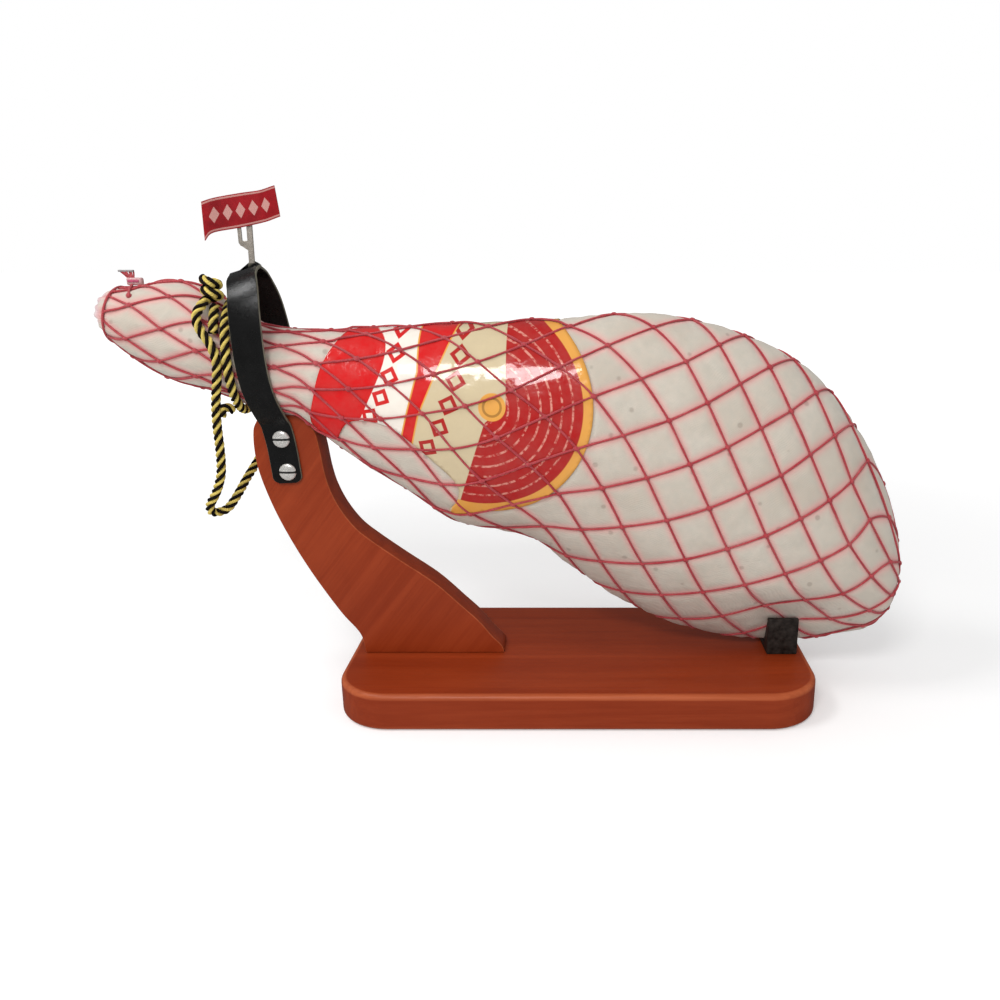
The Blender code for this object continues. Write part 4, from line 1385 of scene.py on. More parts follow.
def label_finish(looks):
    """The glossy print, whose plain fields and rows of small motifs are laid by the side view."""
    finish, tree, shader, place = new_finish("label_print", 0.16)
    shader.inputs["Specular IOR Level"].default_value = 0.2
    shader.inputs["Coat Weight"].default_value = 0.5
    shader.inputs["Coat Roughness"].default_value = 0.05
    parts = put(tree, "ShaderNodeSeparateXYZ", {0: place})
    x, z = parts.outputs[0], parts.outputs[2]
    # White ground with a slanting red field at the shank end and a row of red lozenges
    row = chain(tree, x, z, SWEEP_MIDDLE, *WHITE_ROW, LOZENGE)
    colour = blend(tree, row, looks.white, looks.red)
    holes = chain(tree, x, z, SWEEP_MIDDLE, *WHITE_ROW, WHITE_LOZENGE_HOLE)
    colour = blend(tree, holes, colour, looks.white)
    angle = math.radians(END_FIELD_DEGREES)
    dx = calc(tree, "SUBTRACT", x, END_FIELD_MIDDLE[0])
    dz = calc(tree, "SUBTRACT", z, END_FIELD_MIDDLE[1])
    long_way = weigh(tree, dx, math.cos(angle), dz, math.sin(angle))
    short_way = weigh(tree, dz, math.cos(angle), dx, -math.sin(angle))
    shares = []
    for way, half in zip((long_way, short_way), END_FIELD_HALVES):
        share = calc(tree, "ABSOLUTE", calc(tree, "DIVIDE", way, half))
        shares.append(calc(tree, "POWER", share, 3.0))
    end_field = calc(tree, "ADD", *shares)
    colour = blend(tree, band(tree, end_field, -1.0, 1.0, 0.03), colour, looks.red)
    # A slanting red band with thin golden edges, narrower towards its foot, then a cream ground
    # with a row of maroon lozenges
    drop = calc(tree, "MAXIMUM", calc(tree, "SUBTRACT", 0.297, z), 0.0)
    entered = calc(tree, "ADD", calc(tree, "SUBTRACT", x, -0.1320), calc(tree, "MULTIPLY", drop, 0.28))
    rise = calc(tree, "SUBTRACT", z, 0.2622)
    slant = calc(tree, "MAXIMUM", calc(tree, "MULTIPLY", rise, 0.44), calc(tree, "MULTIPLY", rise, 0.26))
    past = calc(tree, "SUBTRACT", x, calc(tree, "ADD", slant, -0.1318))
    colour = blend(tree, step_up(tree, entered, -0.0002, 0.0002), colour, looks.gold)
    colour = blend(tree, step_up(tree, entered, 0.0011, 0.0015), colour, looks.red)
    colour = blend(tree, step_up(tree, past, -0.0002, 0.0002), colour, looks.gold)
    row = chain(tree, x, z, SWEEP_MIDDLE, *CREAM_ROW, LOZENGE)
    cream = blend(tree, row, looks.cream, looks.maroon)
    holes = chain(tree, x, z, SWEEP_MIDDLE, *CREAM_ROW, CREAM_LOZENGE_HOLE)
    cream = blend(tree, holes, cream, looks.cream)
    colour = blend(tree, step_up(tree, past, 0.0011, 0.0015), colour, cream)
    # Maroon field and golden ring on the big round. The field's border slants below the middle
    middle = away_from(tree, x, z, LABEL_ROUND_MIDDLE)
    slant = calc(tree, "ADD", calc(tree, "MULTIPLY", calc(tree, "SUBTRACT", z, 0.2564), 0.343), -0.0769)
    upper = step_up(tree, z, 0.256, 0.272)
    border = calc(tree, "ADD", slant, calc(tree, "MULTIPLY", calc(tree, "SUBTRACT", -0.0590, slant), upper))
    beyond = step_up(tree, calc(tree, "SUBTRACT", x, border), -0.0003, 0.0003)
    arcs = calc(tree, "PINGPONG", calc(tree, "DIVIDE", middle, 0.0088), 0.5)
    broken = use(tree, "Mottle", {"Place": place, "Size": 0.004, "Contrast": 3.0})["Mask"]
    lines = calc(tree, "MULTIPLY", band(tree, arcs, 0.40, 0.6, 0.03), broken)
    lines = calc(tree, "MULTIPLY", lines, band(tree, middle, 0.012, 0.076, 0.001))
    field = blend(tree, calc(tree, "MULTIPLY", lines, 0.75), looks.maroon, looks.faint)
    colour = blend(tree, beyond, colour, field)
    outer = step_up(tree, calc(tree, "SUBTRACT", x, slant), -0.006, -0.005)
    ring = calc(tree, "MULTIPLY", step_up(tree, middle, 0.0826, 0.0834), outer)
    colour = blend(tree, ring, colour, looks.gold)
    disc = away_from(tree, x, z, GOLDEN_SPOT)
    colour = blend(tree, band(tree, disc, -1.0, 0.0112), colour, looks.gold)
    colour = blend(tree, band(tree, disc, 0.0062, 0.0082, 0.0003), colour, darker(looks.gold, 0.55))
    worn = use(tree, "Mottle", {"Place": place, "Size": 0.012, "Contrast": 1.0})["Mask"]
    colour = blend(tree, calc(tree, "MULTIPLY", worn, 0.10), colour, (0.30, 0.22, 0.18))
    link(tree, colour, shader, "Base Color")
    creased = use(tree, "Mottle", {"Place": place, "Size": 0.03, "Contrast": 1.0})["Mask"]
    gloss = ramp(tree, worn, 0.16, 0.12)
    link(tree, gloss, shader, "Roughness")
    bump(tree, shader, creased, 0.0012, 0.5)
    return finish


# ---- board and upright ----

BOARD_LENGTH = 0.420
BOARD_DEPTH = 0.190
BOARD_TOP = 0.033
BOARD_CORNER = 0.047
BOARD_CORNER_STEPS = 16
BOARD_TOP_ROUND = 0.005
BOARD_FOOT_ROUND = 0.004
UPRIGHT_THICKNESS = 0.028
UPRIGHT_EDGE = 0.0015
UPRIGHT_BACK_SIDE = (
    (-0.1970, BOARD_TOP + GAP),
    (-0.2010, 0.052),
    (-0.2160, 0.072),
    (-0.2330, 0.099),
    (-0.2470, 0.124),
    (-0.2600, 0.151),
    (-0.2700, 0.176),
    (-0.2780, 0.203),
    (-0.2808, 0.224),
    (-0.2800, 0.243),
    (-0.2760, 0.252),
)
UPRIGHT_FRONT_SIDE = (
    (-0.0690, BOARD_TOP + GAP),
    (-0.0710, 0.040),
    (-0.0800, 0.050),
    (-0.0910, 0.064),
    (-0.1060, 0.079),
    (-0.1300, 0.102),
    (-0.1590, 0.123),
    (-0.1830, 0.141),
    (-0.1980, 0.154),
    (-0.2100, 0.171),
    (-0.2180, 0.189),
    (-0.2220, 0.206),
    (-0.2245, 0.226),
    (-0.2275, 0.241),
    (-0.2340, 0.251),
    (-0.2440, 0.257),
)
FOOT_SCREW_X = (-0.165, -0.110)
FOOT_HOLE = ((-0.001, 0.0053), (0.0008, 0.0053), (0.0034, 0.0028), (0.030, 0.0028))


def board_ring(inset, level):
    """The board's outline at one level, drawn in by inset."""
    radius = BOARD_CORNER - inset
    reach_x = BOARD_LENGTH / 2 - BOARD_CORNER
    reach_y = BOARD_DEPTH / 2 - BOARD_CORNER
    ring = []
    for quarter, (side_x, side_y) in enumerate(((1, 1), (-1, 1), (-1, -1), (1, -1))):
        for step in range(BOARD_CORNER_STEPS + 1):
            angle = math.pi / 2 * (quarter + step / BOARD_CORNER_STEPS)
            x = side_x * reach_x + radius * math.cos(angle)
            y = side_y * reach_y + radius * math.sin(angle)
            ring.append((x, y, level))
    return ring


def wood_finish(looks, name, grain_turn, worn):
    """Stained wood, with its grain turned by an angle and paler where worn() says: partly wear of the stain
    and partly a painted highlight on the rounded edges.
    """
    finish, tree, shader, place = new_finish(name, 0.36)
    shader.inputs["Specular IOR Level"].default_value = 0.22
    turned = put(tree, "ShaderNodeMapping", {"Vector": place, "Rotation": (0, grain_turn, 0)})
    grain = use(tree, "Wood Grain", {"Place": turned.outputs[0], "Width": looks.grain})
    clouds = use(tree, "Mottle", {"Place": place, "Size": 0.09, "Contrast": 1.0})["Mask"]
    colour = blend(tree, grain["Streak"], looks.dark, looks.light)
    colour = blend(tree, calc(tree, "MULTIPLY", clouds, 0.30), colour, looks.deep)
    colour = blend(tree, calc(tree, "MULTIPLY", grain["Pore"], 0.45), colour, darker(looks.dark, 0.4))
    lit_worn_edges = worn(tree, place)
    share_left = ramp(tree, grain["Streak"], 0.5, 0.4)
    broken = calc(tree, "MULTIPLY", lit_worn_edges, share_left)
    # Paler rounded edges: partly wear of the stain, partly a painted highlight where the edges catch the
    # light
    colour = blend(tree, calc(tree, "MULTIPLY", broken, 0.75), colour, looks.edge)
    link(tree, colour, shader, "Base Color")
    rough = ramp(tree, grain["Streak"], 0.14, 0.34)
    link(tree, rough, shader, "Roughness")
    bump(tree, shader, calc(tree, "SUBTRACT", grain["Streak"], grain["Pore"]), 0.0002, 0.5)
    return finish


def board_lit_worn_edges(tree, place):
    return attribute(tree, "Worn")


def upright_lit_worn_edges(tree, place):
    """The narrow rounded edges on both faces of the upright, paler as wear and as a painted highlight."""
    parts = put(tree, "ShaderNodeSeparateXYZ", {0: place})
    depth = calc(tree, "ABSOLUTE", parts.outputs[1])
    return band(tree, depth, UPRIGHT_THICKNESS / 2 - 0.0013, UPRIGHT_THICKNESS / 2 - 0.00015, 0.0001)


def make_board(looks):
    rings, worn = [], []
    # The mask marks the rounded top and foot edges to be paler: partly wear, partly painted highlight
    for angle in np.radians(np.linspace(0, 90, 7)):
        foot = BOARD_FOOT_ROUND
        rings.append(board_ring(foot * (1 - math.sin(angle)), foot * (1 - math.cos(angle))))
        worn.append(0.8 * math.cos(angle))
    for angle in np.radians(np.linspace(0, 90, 9)):
        top = BOARD_TOP_ROUND
        rings.append(board_ring(top * (1 - math.cos(angle)), BOARD_TOP - top * (1 - math.sin(angle))))
        worn.append(math.sin(2 * angle) ** 0.5 if 0 < angle < 1.5 else 0)
    rings.append(board_ring(0.012, BOARD_TOP))
    worn.append(0)
    rings = np.array(rings)
    points, faces, _ = strip(rings)
    mesh = mesh_of("stand_board", points, faces)
    write_mask(mesh, "Worn", np.repeat(worn, rings.shape[1]))
    finish = wood_finish(looks, "board_wood", 0.0, board_lit_worn_edges)
    board = add_piece("stand_board", mesh, [finish], ["base_board"], 35)
    for x in FOOT_SCREW_X:
        cut_shape(board, "foot_hole", turned_mesh(FOOT_HOLE, 24, (x, 0, 0), (0, 0, 1)))


def make_upright(looks):
    outline = np.vstack([smooth_line(UPRIGHT_FRONT_SIDE, 6), smooth_line(UPRIGHT_BACK_SIDE, 6)[::-1]])
    half = UPRIGHT_THICKNESS / 2
    rings = np.array([[(x, level, z) for x, z in outline] for level in (-half, half)])
    points, faces, _ = strip(rings)
    finish = wood_finish(looks, "upright_wood", math.radians(52), upright_lit_worn_edges)
    mesh = mesh_of("stand_upright", points, faces)
    upright = add_piece("stand_upright", mesh, [finish], ["upright"], 40)
    soften(upright, UPRIGHT_EDGE, 3, 60)
    shape = bmesh.new()
    share, turn = np.meshgrid(np.linspace(0.02, 0.6, 120), np.linspace(0, 1, 97)[:-1], indexing="ij")
    rows = [[shape.verts.new(point) for point in ring] for ring in LEG.at(share, turn, 2 * GAP)]
    for lower, upper in zip(rows, rows[1:]):
        for k in range(len(lower)):
            m = (k + 1) % len(lower)
            shape.faces.new((lower[k], lower[m], upper[m], upper[k]))
    shape.faces.new(rows[0][::-1])
    shape.faces.new(rows[-1])
    cut_shape(upright, "cradle", shape)
    upright.data.shade_smooth()
    upright.data.set_sharp_from_angle(angle=math.radians(40))


# ---- rest block ----

REST_HEIGHT = 0.0355
REST_FLOOR = 0.0045
REST_HALF_WIDTH = 0.0225
REST_CHEEK = 0.0045
REST_FLOOR_HALF = 0.006


def rubber_finish(looks):
    finish, tree, shader, place = new_finish("rubber", 0.5)
    shader.inputs["Specular IOR Level"].default_value = 0.15
    dust = use(tree, "Mottle", {"Place": place, "Size": 0.006, "Contrast": 1.4})["Mask"]
    grit = use(tree, "Specks", {"Place": place, "Spacing": 0.0012, "Dot Share": 0.5})["Mask"]
    link(tree, blend(tree, dust, looks.rubber, (0.035, 0.028, 0.024)), shader, "Base Color")
    link(tree, ramp(tree, dust, 0.2, 0.38), shader, "Roughness")
    bump(tree, shader, grit, 0.0001, 0.5)
    return finish


def make_rest_block(looks):
    half = (
        (REST_HALF_WIDTH, BOARD_TOP + GAP),
        (REST_HALF_WIDTH, BOARD_TOP + REST_HEIGHT),
        (REST_HALF_WIDTH - REST_CHEEK, BOARD_TOP + REST_HEIGHT),
        (REST_FLOOR_HALF, BOARD_TOP + REST_FLOOR),
    )
    outline = [(KEEL_OFFSET + y, z) for y, z in half] + [(KEEL_OFFSET - y, z) for y, z in reversed(half)]
    rings = np.array([[(x, y, z) for y, z in outline] for x in REST_X])
    points, faces, _ = strip(rings)
    mesh = mesh_of("rubber_block", points, faces)
    block = add_piece("rubber_block", mesh, [rubber_finish(looks)], ["rest_block"], 30)
    soften(block, 0.0011, 3, 25)
    block.data.shade_smooth()
    block.data.set_sharp_from_angle(angle=math.radians(50))


# ---- strap and its screws ----

STRAP_WIDTH = 0.0255
STRAP_THICKNESS = 0.003
STRAP_EDGE = 0.0009
STRAP_END_ROUND = 0.006
STRAP_FLAT_LEVELS = (0.197, 0.212, 0.228, 0.243)
STRAP_LOOP = (
    (-0.0172, 0.2495),
    (-0.0245, 0.2590),
    (-0.0345, 0.2750),
    (-0.0402, 0.2940),
    (-0.0419, 0.3150),
    (-0.0409, 0.3380),
    (-0.0365, 0.3555),
    (-0.0260, 0.3682),
    (-0.0125, 0.3740),
)
STRAP_TOP = 0.3757
STRAP_TILT_DEGREES = 17
STRAP_TILT_FROM = 0.340
STRAP_FRONT_LEAN = (
    (0.190, -0.2530),
    (0.205, -0.2537),
    (0.232, -0.2562),
    (0.258, -0.2610),
    (0.283, -0.2645),
    (0.310, -0.2662),
    (0.345, -0.2675),
    (0.362, -0.2695),
    (0.375, -0.2755),
    (0.382, -0.2795),
)
STRAP_BACK_LEAN = (
    (0.190, -0.2530),
    (0.205, -0.2537),
    (0.232, -0.2562),
    (0.262, -0.2610),
    (0.300, -0.2675),
    (0.323, -0.2710),
    (0.348, -0.2750),
    (0.367, -0.2790),
    (0.382, -0.2795),
)
STRAP_SCREWS = ((-0.2552, 0.2362), (-0.2522, 0.2072))
SCREW_HEAD = 0.0074
SCREW_DOME = 0.0030
SCREW_RADIUS = 0.0021
SCREW_DEPTH = 0.0115
SLOT_WIDTH = 0.0020
SLOT_DEPTH = 0.0012


def strap_path():
    """The strap's middle line from its front end over the leg to its back end."""
    flat = -(UPRIGHT_THICKNESS / 2 + GAP + STRAP_THICKNESS / 2)
    front = [*((flat, z) for z in STRAP_FLAT_LEVELS), *STRAP_LOOP]
    back = [(-y, z) for y, z in reversed(front)]
    whole = smooth_line([*front, (0, STRAP_TOP), *back])
    front_lean = smooth_line(STRAP_FRONT_LEAN)
    back_lean = smooth_line(STRAP_BACK_LEAN)
    path = []
    for y, z in whole:
        lean = back_lean if y > 0 else front_lean
        path.append((np.interp(z, lean[:, 0], lean[:, 1]), y, z))
    return along(np.array(path), np.linspace(0, 1, 260))


def leather_finish(looks):
    finish, tree, shader, place = new_finish("strap_leather", 0.3)
    shader.inputs["Specular IOR Level"].default_value = 0.35
    cells = put(tree, "ShaderNodeTexVoronoi", {"Vector": place, "Scale": 1300.0}, feature="DISTANCE_TO_EDGE")
    creases = use(tree, "Mottle", {"Place": place, "Size": 0.010, "Contrast": 1.2})["Mask"]
    edge = attribute(tree, "Cut Edge")
    colour = blend(tree, creases, looks.leather, darker(looks.leather, 0.5))
    raw = blend(tree, creases, looks.edge, darker(looks.edge, 0.6))
    colour = blend(tree, edge, colour, raw)
    link(tree, colour, shader, "Base Color")
    rough = ramp(tree, creases, 0.12, 0.20)
    link(tree, calc(tree, "ADD", rough, calc(tree, "MULTIPLY", edge, 0.3)), shader, "Roughness")
    grain = calc(tree, "ADD", step_up(tree, cells.outputs["Distance"], 0.0, 0.25), creases)
    bump(tree, shader, grain, 0.00005, 0.5)
    return finish


def make_strap(looks):
    path = strap_path()
    ahead = unit(np.gradient(path, axis=0))
    ways = travelled(path)
    from_end = np.minimum(ways, ways[-1] - ways)
    rings = []
    edge_marks = []
    for point, direction, way in zip(path, ahead, from_end):
        tilt = math.radians(STRAP_TILT_DEGREES) * ease(point[2], STRAP_TILT_FROM, STRAP_TOP)
        across = np.array((math.cos(tilt), 0, math.sin(tilt)))
        across = unit(across - across.dot(direction) * direction)
        outward = np.cross(across, direction)
        short = max(STRAP_END_ROUND - way, 0)
        half = STRAP_WIDTH / 2 - STRAP_END_ROUND + math.sqrt(STRAP_END_ROUND**2 - short**2)
        half = max(half, STRAP_WIDTH / 2 - STRAP_END_ROUND * 0.85)
        section = rounded_section(half, STRAP_THICKNESS / 2, STRAP_EDGE)
        rings.append([point + a * across + b * outward for a, b in section])
        edge_marks.append(ease(np.abs(section[:, 0]), half - 0.0006, half - 0.0001))
    points, faces, _ = strip(np.array(rings))
    mesh = mesh_of("leather_strap", points, faces)
    write_mask(mesh, "Cut Edge", np.ravel(edge_marks))
    finish = leather_finish(looks)
    strap = add_piece("leather_strap", mesh, [finish], ["strap"], 50)
    slot = (0.0046 + 3 * GAP, 0.0024 + 2 * GAP, 4 * STRAP_THICKNESS)
    cut_box(strap, "pin_slot", (PIN_STRAP_X, PIN_MIDDLE_Y, STRAP_TOP), slot)


def steel_finish(name, steel):
    finish, tree, shader, place = new_finish(name, 0.3, 0.5)
    fine = put(tree, "ShaderNodeTexNoise", {"Vector": place, "Scale": 1400.0, "Detail": 3.0})
    smear = use(tree, "Mottle", {"Place": place, "Size": 0.004, "Contrast": 1.2})["Mask"]
    link(tree, blend(tree, smear, steel, darker(steel, 0.72)), shader, "Base Color")
    rough = ramp(tree, fine.outputs[0], 0.22, 0.16)
    link(tree, rough, shader, "Roughness")
    bump(tree, shader, fine.outputs[0], 0.00004, 0.6)
    return finish


def make_screws(looks):
    finish = steel_finish("screw_steel", looks.steel)
    # Painted shade: the slots are nearly black steel, standing in for the shade inside them
    dark = steel_finish("slot_grime", darker(looks.steel, 0.06))
    seat = UPRIGHT_THICKNESS / 2 + GAP + STRAP_THICKNESS + GAP
    depth = seat + SCREW_DEPTH - UPRIGHT_THICKNESS / 2
    dome = []
    for degrees in range(15, 86, 10):
        angle = math.radians(degrees)
        reach = SCREW_HEAD * math.cos(angle)
        dome.append((0.0008 + (SCREW_DOME - 0.0008) * math.sin(angle), reach))
    profile = [
        (-depth, SCREW_RADIUS * 0.6),
        (-depth + 0.002, SCREW_RADIUS),
        (0, SCREW_RADIUS),
        (0, SCREW_HEAD * 0.97),
        (0.0003, SCREW_HEAD),
        (0.0007, SCREW_HEAD),
        *dome,
    ]
    for level, (x, z) in zip(("upper", "lower"), STRAP_SCREWS):
        for side, way in (("front", -1), ("back", 1)):
            shape = turned_mesh(profile, 40, (x, way * seat, z), (0, way, 0))
            name = f"{side}_{level}_screw"
            mesh = mesh_of_shape(name, shape)
            node = f"strap_screw_{side}_{level}"
            screw = add_piece(name, mesh, [finish], [node], 35)
            middle = (x, way * (seat + SCREW_DOME), z)
            cut_box(screw, "slot", middle, (2.2 * SCREW_HEAD, 2 * SLOT_DEPTH, 0.9 * SLOT_WIDTH))
            screw.data.materials.append(dark)
            for face in screw.data.polygons:
                in_slot = abs(face.center.z - z) < 0.45 * SLOT_WIDTH and abs(face.center.y) > seat + 0.0004
                face.material_index = 1 if in_slot else 0
            screw.data.shade_smooth()
            screw.data.set_sharp_from_angle(angle=math.radians(35))


def finish_foot_screws(looks):
    """The two screws under the board keep their packed shapes."""
    finish = steel_finish("foot_screw_steel", looks.steel)
    for number in (1, 2):
        mesh = bpy.data.objects[f"foot_screw_{number}"].data
        mesh.materials.clear()
        mesh.materials.append(finish)


# ---- flag and its pin ----

PIN_FOOT_X = -0.2735
PIN_STRAP_X = -0.2717
PIN_TOP_X = -0.2704
PIN_WIDTH = 0.0046
PIN_THICKNESS = 0.0024
PIN_BOTTOM = 0.312
PIN_YOKE = 0.395
PIN_TOP = 0.4255
PIN_POINT = 0.008
PRONG_X = -0.2793
PRONG_WIDTH = 0.0030
FLAG_THICKNESS = 0.0012
FLAG_TOP = ((-0.3060, 0.4300), (-0.2930, 0.4338), (-0.2750, 0.4368), (-0.2590, 0.4390), (-0.2455, 0.4425))
FLAG_FOOT = ((-0.3065, 0.3995), (-0.2990, 0.4060), (-0.2770, 0.4100), (-0.2560, 0.4145), (-0.2430, 0.4185))
FLAG_WAVE = 0.0032
FLAG_WAVE_SHIFT = 0.05
FLAG_FLAT = (0.13, 0.42)
FLAG_SET_BACK = 0.0012
FLAG_COLUMNS = 60
FLAG_ROWS = 16
PIN_MIDDLE_Y = FLAG_THICKNESS / 2 + GAP + PIN_THICKNESS / 2 - FLAG_SET_BACK


def make_pin(looks):
    half = PIN_WIDTH / 2
    prong = PRONG_WIDTH / 2
    lean = (PIN_TOP_X - PIN_FOOT_X) / (PIN_TOP - PIN_BOTTOM)

    def on_pin(side, level):
        return PIN_FOOT_X + lean * (level - PIN_BOTTOM) + side * half, level

    outline = (
        on_pin(0, PIN_BOTTOM),
        on_pin(1, PIN_BOTTOM + PIN_POINT),
        on_pin(1, PIN_TOP - 0.001),
        on_pin(0.6, PIN_TOP),
        on_pin(-0.6, PIN_TOP),
        on_pin(-1, PIN_TOP - 0.001),
        on_pin(-1, PIN_YOKE + PRONG_WIDTH + prong),
        (PRONG_X + prong, PIN_YOKE + PRONG_WIDTH + prong),
        (PRONG_X + prong, PIN_TOP - 0.001),
        (PRONG_X, PIN_TOP),
        (PRONG_X - prong, PIN_TOP - 0.001),
        (PRONG_X - prong, PIN_YOKE + PRONG_WIDTH),
        (PRONG_X, PIN_YOKE + 0.0006),
        (PRONG_X + prong, PIN_YOKE),
        on_pin(-1, PIN_YOKE - PRONG_WIDTH),
        on_pin(-1, PIN_BOTTOM + PIN_POINT),
    )
    thick = PIN_THICKNESS / 2
    rings = [[(x, level, z) for x, z in outline] for level in (PIN_MIDDLE_Y - thick, PIN_MIDDLE_Y + thick)]
    points, faces, _ = strip(np.array(rings))
    mesh = mesh_of("forked_pin", points, faces)
    pin = add_piece("forked_pin", mesh, [steel_finish("pin_steel", looks.pin)], ["flag_pin"], 30)
    soften(pin, 0.0005, 3, 60)
    pin.data.shade_smooth()
    pin.data.set_sharp_from_angle(angle=math.radians(50))


def enamel_finish(looks):
    finish, tree, shader, place = new_finish("flag_enamel", 0.3)
    shader.inputs["Specular IOR Level"].default_value = 0.25
    parts = put(tree, "ShaderNodeSeparateXYZ", {0: uv_of(tree, "Way")})
    along_flag, up = parts.outputs[0], parts.outputs[1]
    faded = use(tree, "Mottle", {"Place": place, "Size": 0.01, "Contrast": 1.2})["Mask"]
    colour = blend(tree, faded, looks.enamel, darker(looks.enamel, 0.65))
    # A row of small lozenges along the middle
    x = calc(tree, "PINGPONG", calc(tree, "ADD", calc(tree, "MULTIPLY", along_flag, 6.0), 0.5), 0.5)
    z = calc(tree, "ABSOLUTE", calc(tree, "SUBTRACT", up, 0.5))
    spread = calc(tree, "ADD", calc(tree, "SUBTRACT", 0.5, x), calc(tree, "MULTIPLY", z, 1.6))
    row = calc(tree, "SUBTRACT", 1.0, step_up(tree, spread, 0.36, 0.40))
    inner = band(tree, along_flag, 0.09, 0.91, 0.002)
    colour = blend(tree, calc(tree, "MULTIPLY", row, calc(tree, "MULTIPLY", inner, 0.85)), colour, looks.trim)
    low_line = band(tree, up, 0.035, 0.085, 0.008)
    high_line = band(tree, up, 0.915, 0.965, 0.008)
    lines = calc(tree, "ADD", low_line, high_line, clamp=True)
    colour = blend(tree, calc(tree, "MULTIPLY", lines, 0.7), colour, looks.trim)
    link(tree, colour, shader, "Base Color")
    bump(tree, shader, calc(tree, "ADD", calc(tree, "ADD", row, lines), faded), 0.00012, 0.6)
    return finish


def make_flag(looks):
    """A small stiff banner, waved at its ends and flat where the pin holds it."""
    steps = np.linspace(0, 1, FLAG_COLUMNS + 1)
    top = along(smooth_line(FLAG_TOP), steps)
    foot = along(smooth_line(FLAG_FOOT), steps)
    face = PIN_MIDDLE_Y - PIN_THICKNESS / 2 - GAP - FLAG_THICKNESS / 2
    levels = np.linspace(0, 1, FLAG_ROWS + 1)
    rings, uv = [], []
    around = np.concatenate([levels, levels[::-1], levels[:1]])
    for share, low, high in zip(steps, foot, top):
        free = ease(abs(share - 0.5), *FLAG_FLAT)
        y = face - FLAG_WAVE * free * math.cos(2 * math.pi * (share - FLAG_WAVE_SHIFT))
        line = [low * (1 - t) + high * t for t in levels]
        # The sheet thins to its rims
        thick = [FLAG_THICKNESS / 2 * (1 - 0.5 * (2 * t - 1) ** 8) for t in levels]
        front = [(x, y - half, z) for (x, z), half in zip(line, thick)]
        back = [(x, y + half, z) for (x, z), half in zip(reversed(line), reversed(thick))]
        rings.append(front + back)
        uv.append([(share, t) for t in around])
    points, faces, corners = strip(np.array(rings), False, np.array(uv))
    mesh = mesh_of("banner", points, faces, corners)
    add_piece("banner", mesh, [enamel_finish(looks)], ["flag"], 40)


# ---- end of the net ----

CLIP_MIDDLE = (-0.3685, -0.0040, 0.3672)
CLIP_SIZE = (0.0130, 0.0050, 0.0062)


def rounded_box(middle, size, edge, segments=3):
    """Points, faces and blank UVs of a box with rounded edges."""
    shape = bmesh.new()
    bmesh.ops.create_cube(shape, size=1, matrix=Matrix.Translation(middle) @ Matrix.Diagonal((*size, 1)))
    bmesh.ops.bevel(
        shape,
        geom=shape.edges[:],
        offset=edge,
        segments=segments,
        profile=0.5,
        affect="EDGES",
    )
    shape.verts.index_update()
    points = [tuple(vert.co) for vert in shape.verts]
    faces = [tuple(vert.index for vert in face.verts) for face in shape.faces]
    shape.free()
    return points, faces, [(0.0, 0.0)] * sum(len(face) for face in faces)


def plastic_finish(name, colour):
    finish, tree, shader, place = new_finish(name, 0.45)
    scuffs = use(tree, "Mottle", {"Place": place, "Size": 0.002, "Contrast": 1.3})["Mask"]
    link(tree, blend(tree, scuffs, colour, darker(colour, 0.7)), shader, "Base Color")
    link(tree, ramp(tree, scuffs, 0.2, 0.35), shader, "Roughness")
    bump(tree, shader, scuffs, 0.0001, 0.5)
    return finish


def make_net_end(looks):
    x, y, z = CLIP_MIDDLE
    wide, deep, high = CLIP_SIZE
    body = rounded_box(CLIP_MIDDLE, CLIP_SIZE, 0.0014)
    mesh = mesh_of("net_clip_body", *body)
    finish = plastic_finish("clip_pink", looks.clip)
    add_piece("net_clip_body", mesh, [finish], ["net_clip"], 50)
    bar = rounded_box((x - 0.0005, y - deep / 2, z + 0.0004), (wide * 0.72, 0.0014, 0.0022), 0.0005)
    mesh = mesh_of("net_clip_bar", *bar)
    add_piece("net_clip_bar", mesh, [plastic_finish("clip_bar", looks.bar)], (), 50)
    # Thread ends fan out above the clip under a flat bar
    foot = z + high / 2
    threads = []
    for number in range(7):
        spread = number / 6 - 0.5
        start = np.array((x - 0.0030 + 0.004 * spread, y, foot - 0.001))
        end = np.array((x - 0.0060 + 0.0105 * spread, y + 0.0004 * (-1) ** number, foot + 0.0048))
        line = []
        for t in np.linspace(0, 1, 9):
            line.append(start + (end - start) * t + (0, 0.0006 * math.sin(3 * t + number), 0))
        threads.append(thread_tube(np.array(line), 0.0007))
    stem_top = np.array((x - 0.0022, y - 0.0008, z - high / 2 + 0.001))
    share = float(NET.share(NET_FIRST_ROW + 0.9, 0.12))
    stem_foot = LEG.at(max(share, 0.02), 0.12, 0.0012)
    middle = (stem_top + stem_foot) / 2 + (-0.0006, -0.0012, 0.0003)
    threads.append(thread_tube(smooth_line([stem_top, middle, stem_foot]), 0.0011))
    threads.append(blob(stem_foot, np.eye(3), (0.0024, 0.0020, 0.0024)))
    mesh = mesh_of("net_end_threads", *join(threads))
    add_piece("net_end_threads", mesh, [net_finish(looks)], ["net_tail"])
    top = rounded_box((x - 0.0065, y, foot + 0.0054), (0.0128, 0.0024, 0.0016), 0.0005)
    mesh = mesh_of("net_end_bar", *top)
    add_piece("net_end_bar", mesh, [plastic_finish("end_bar_grey", looks.grey_bar)], (), 50)


# ---- stage ----

CAMERA_PLACE = (0.0, -0.752167, 0.397001)
CAMERA_TILT_DEGREES = 73.67
CAMERA_LENS = 31.451
CAMERA_SENSOR = 36.0
CAMERA_SHIFT = -0.0785
FLOOR_REACH = 12.0
FLOOR_DROP = 0.0004
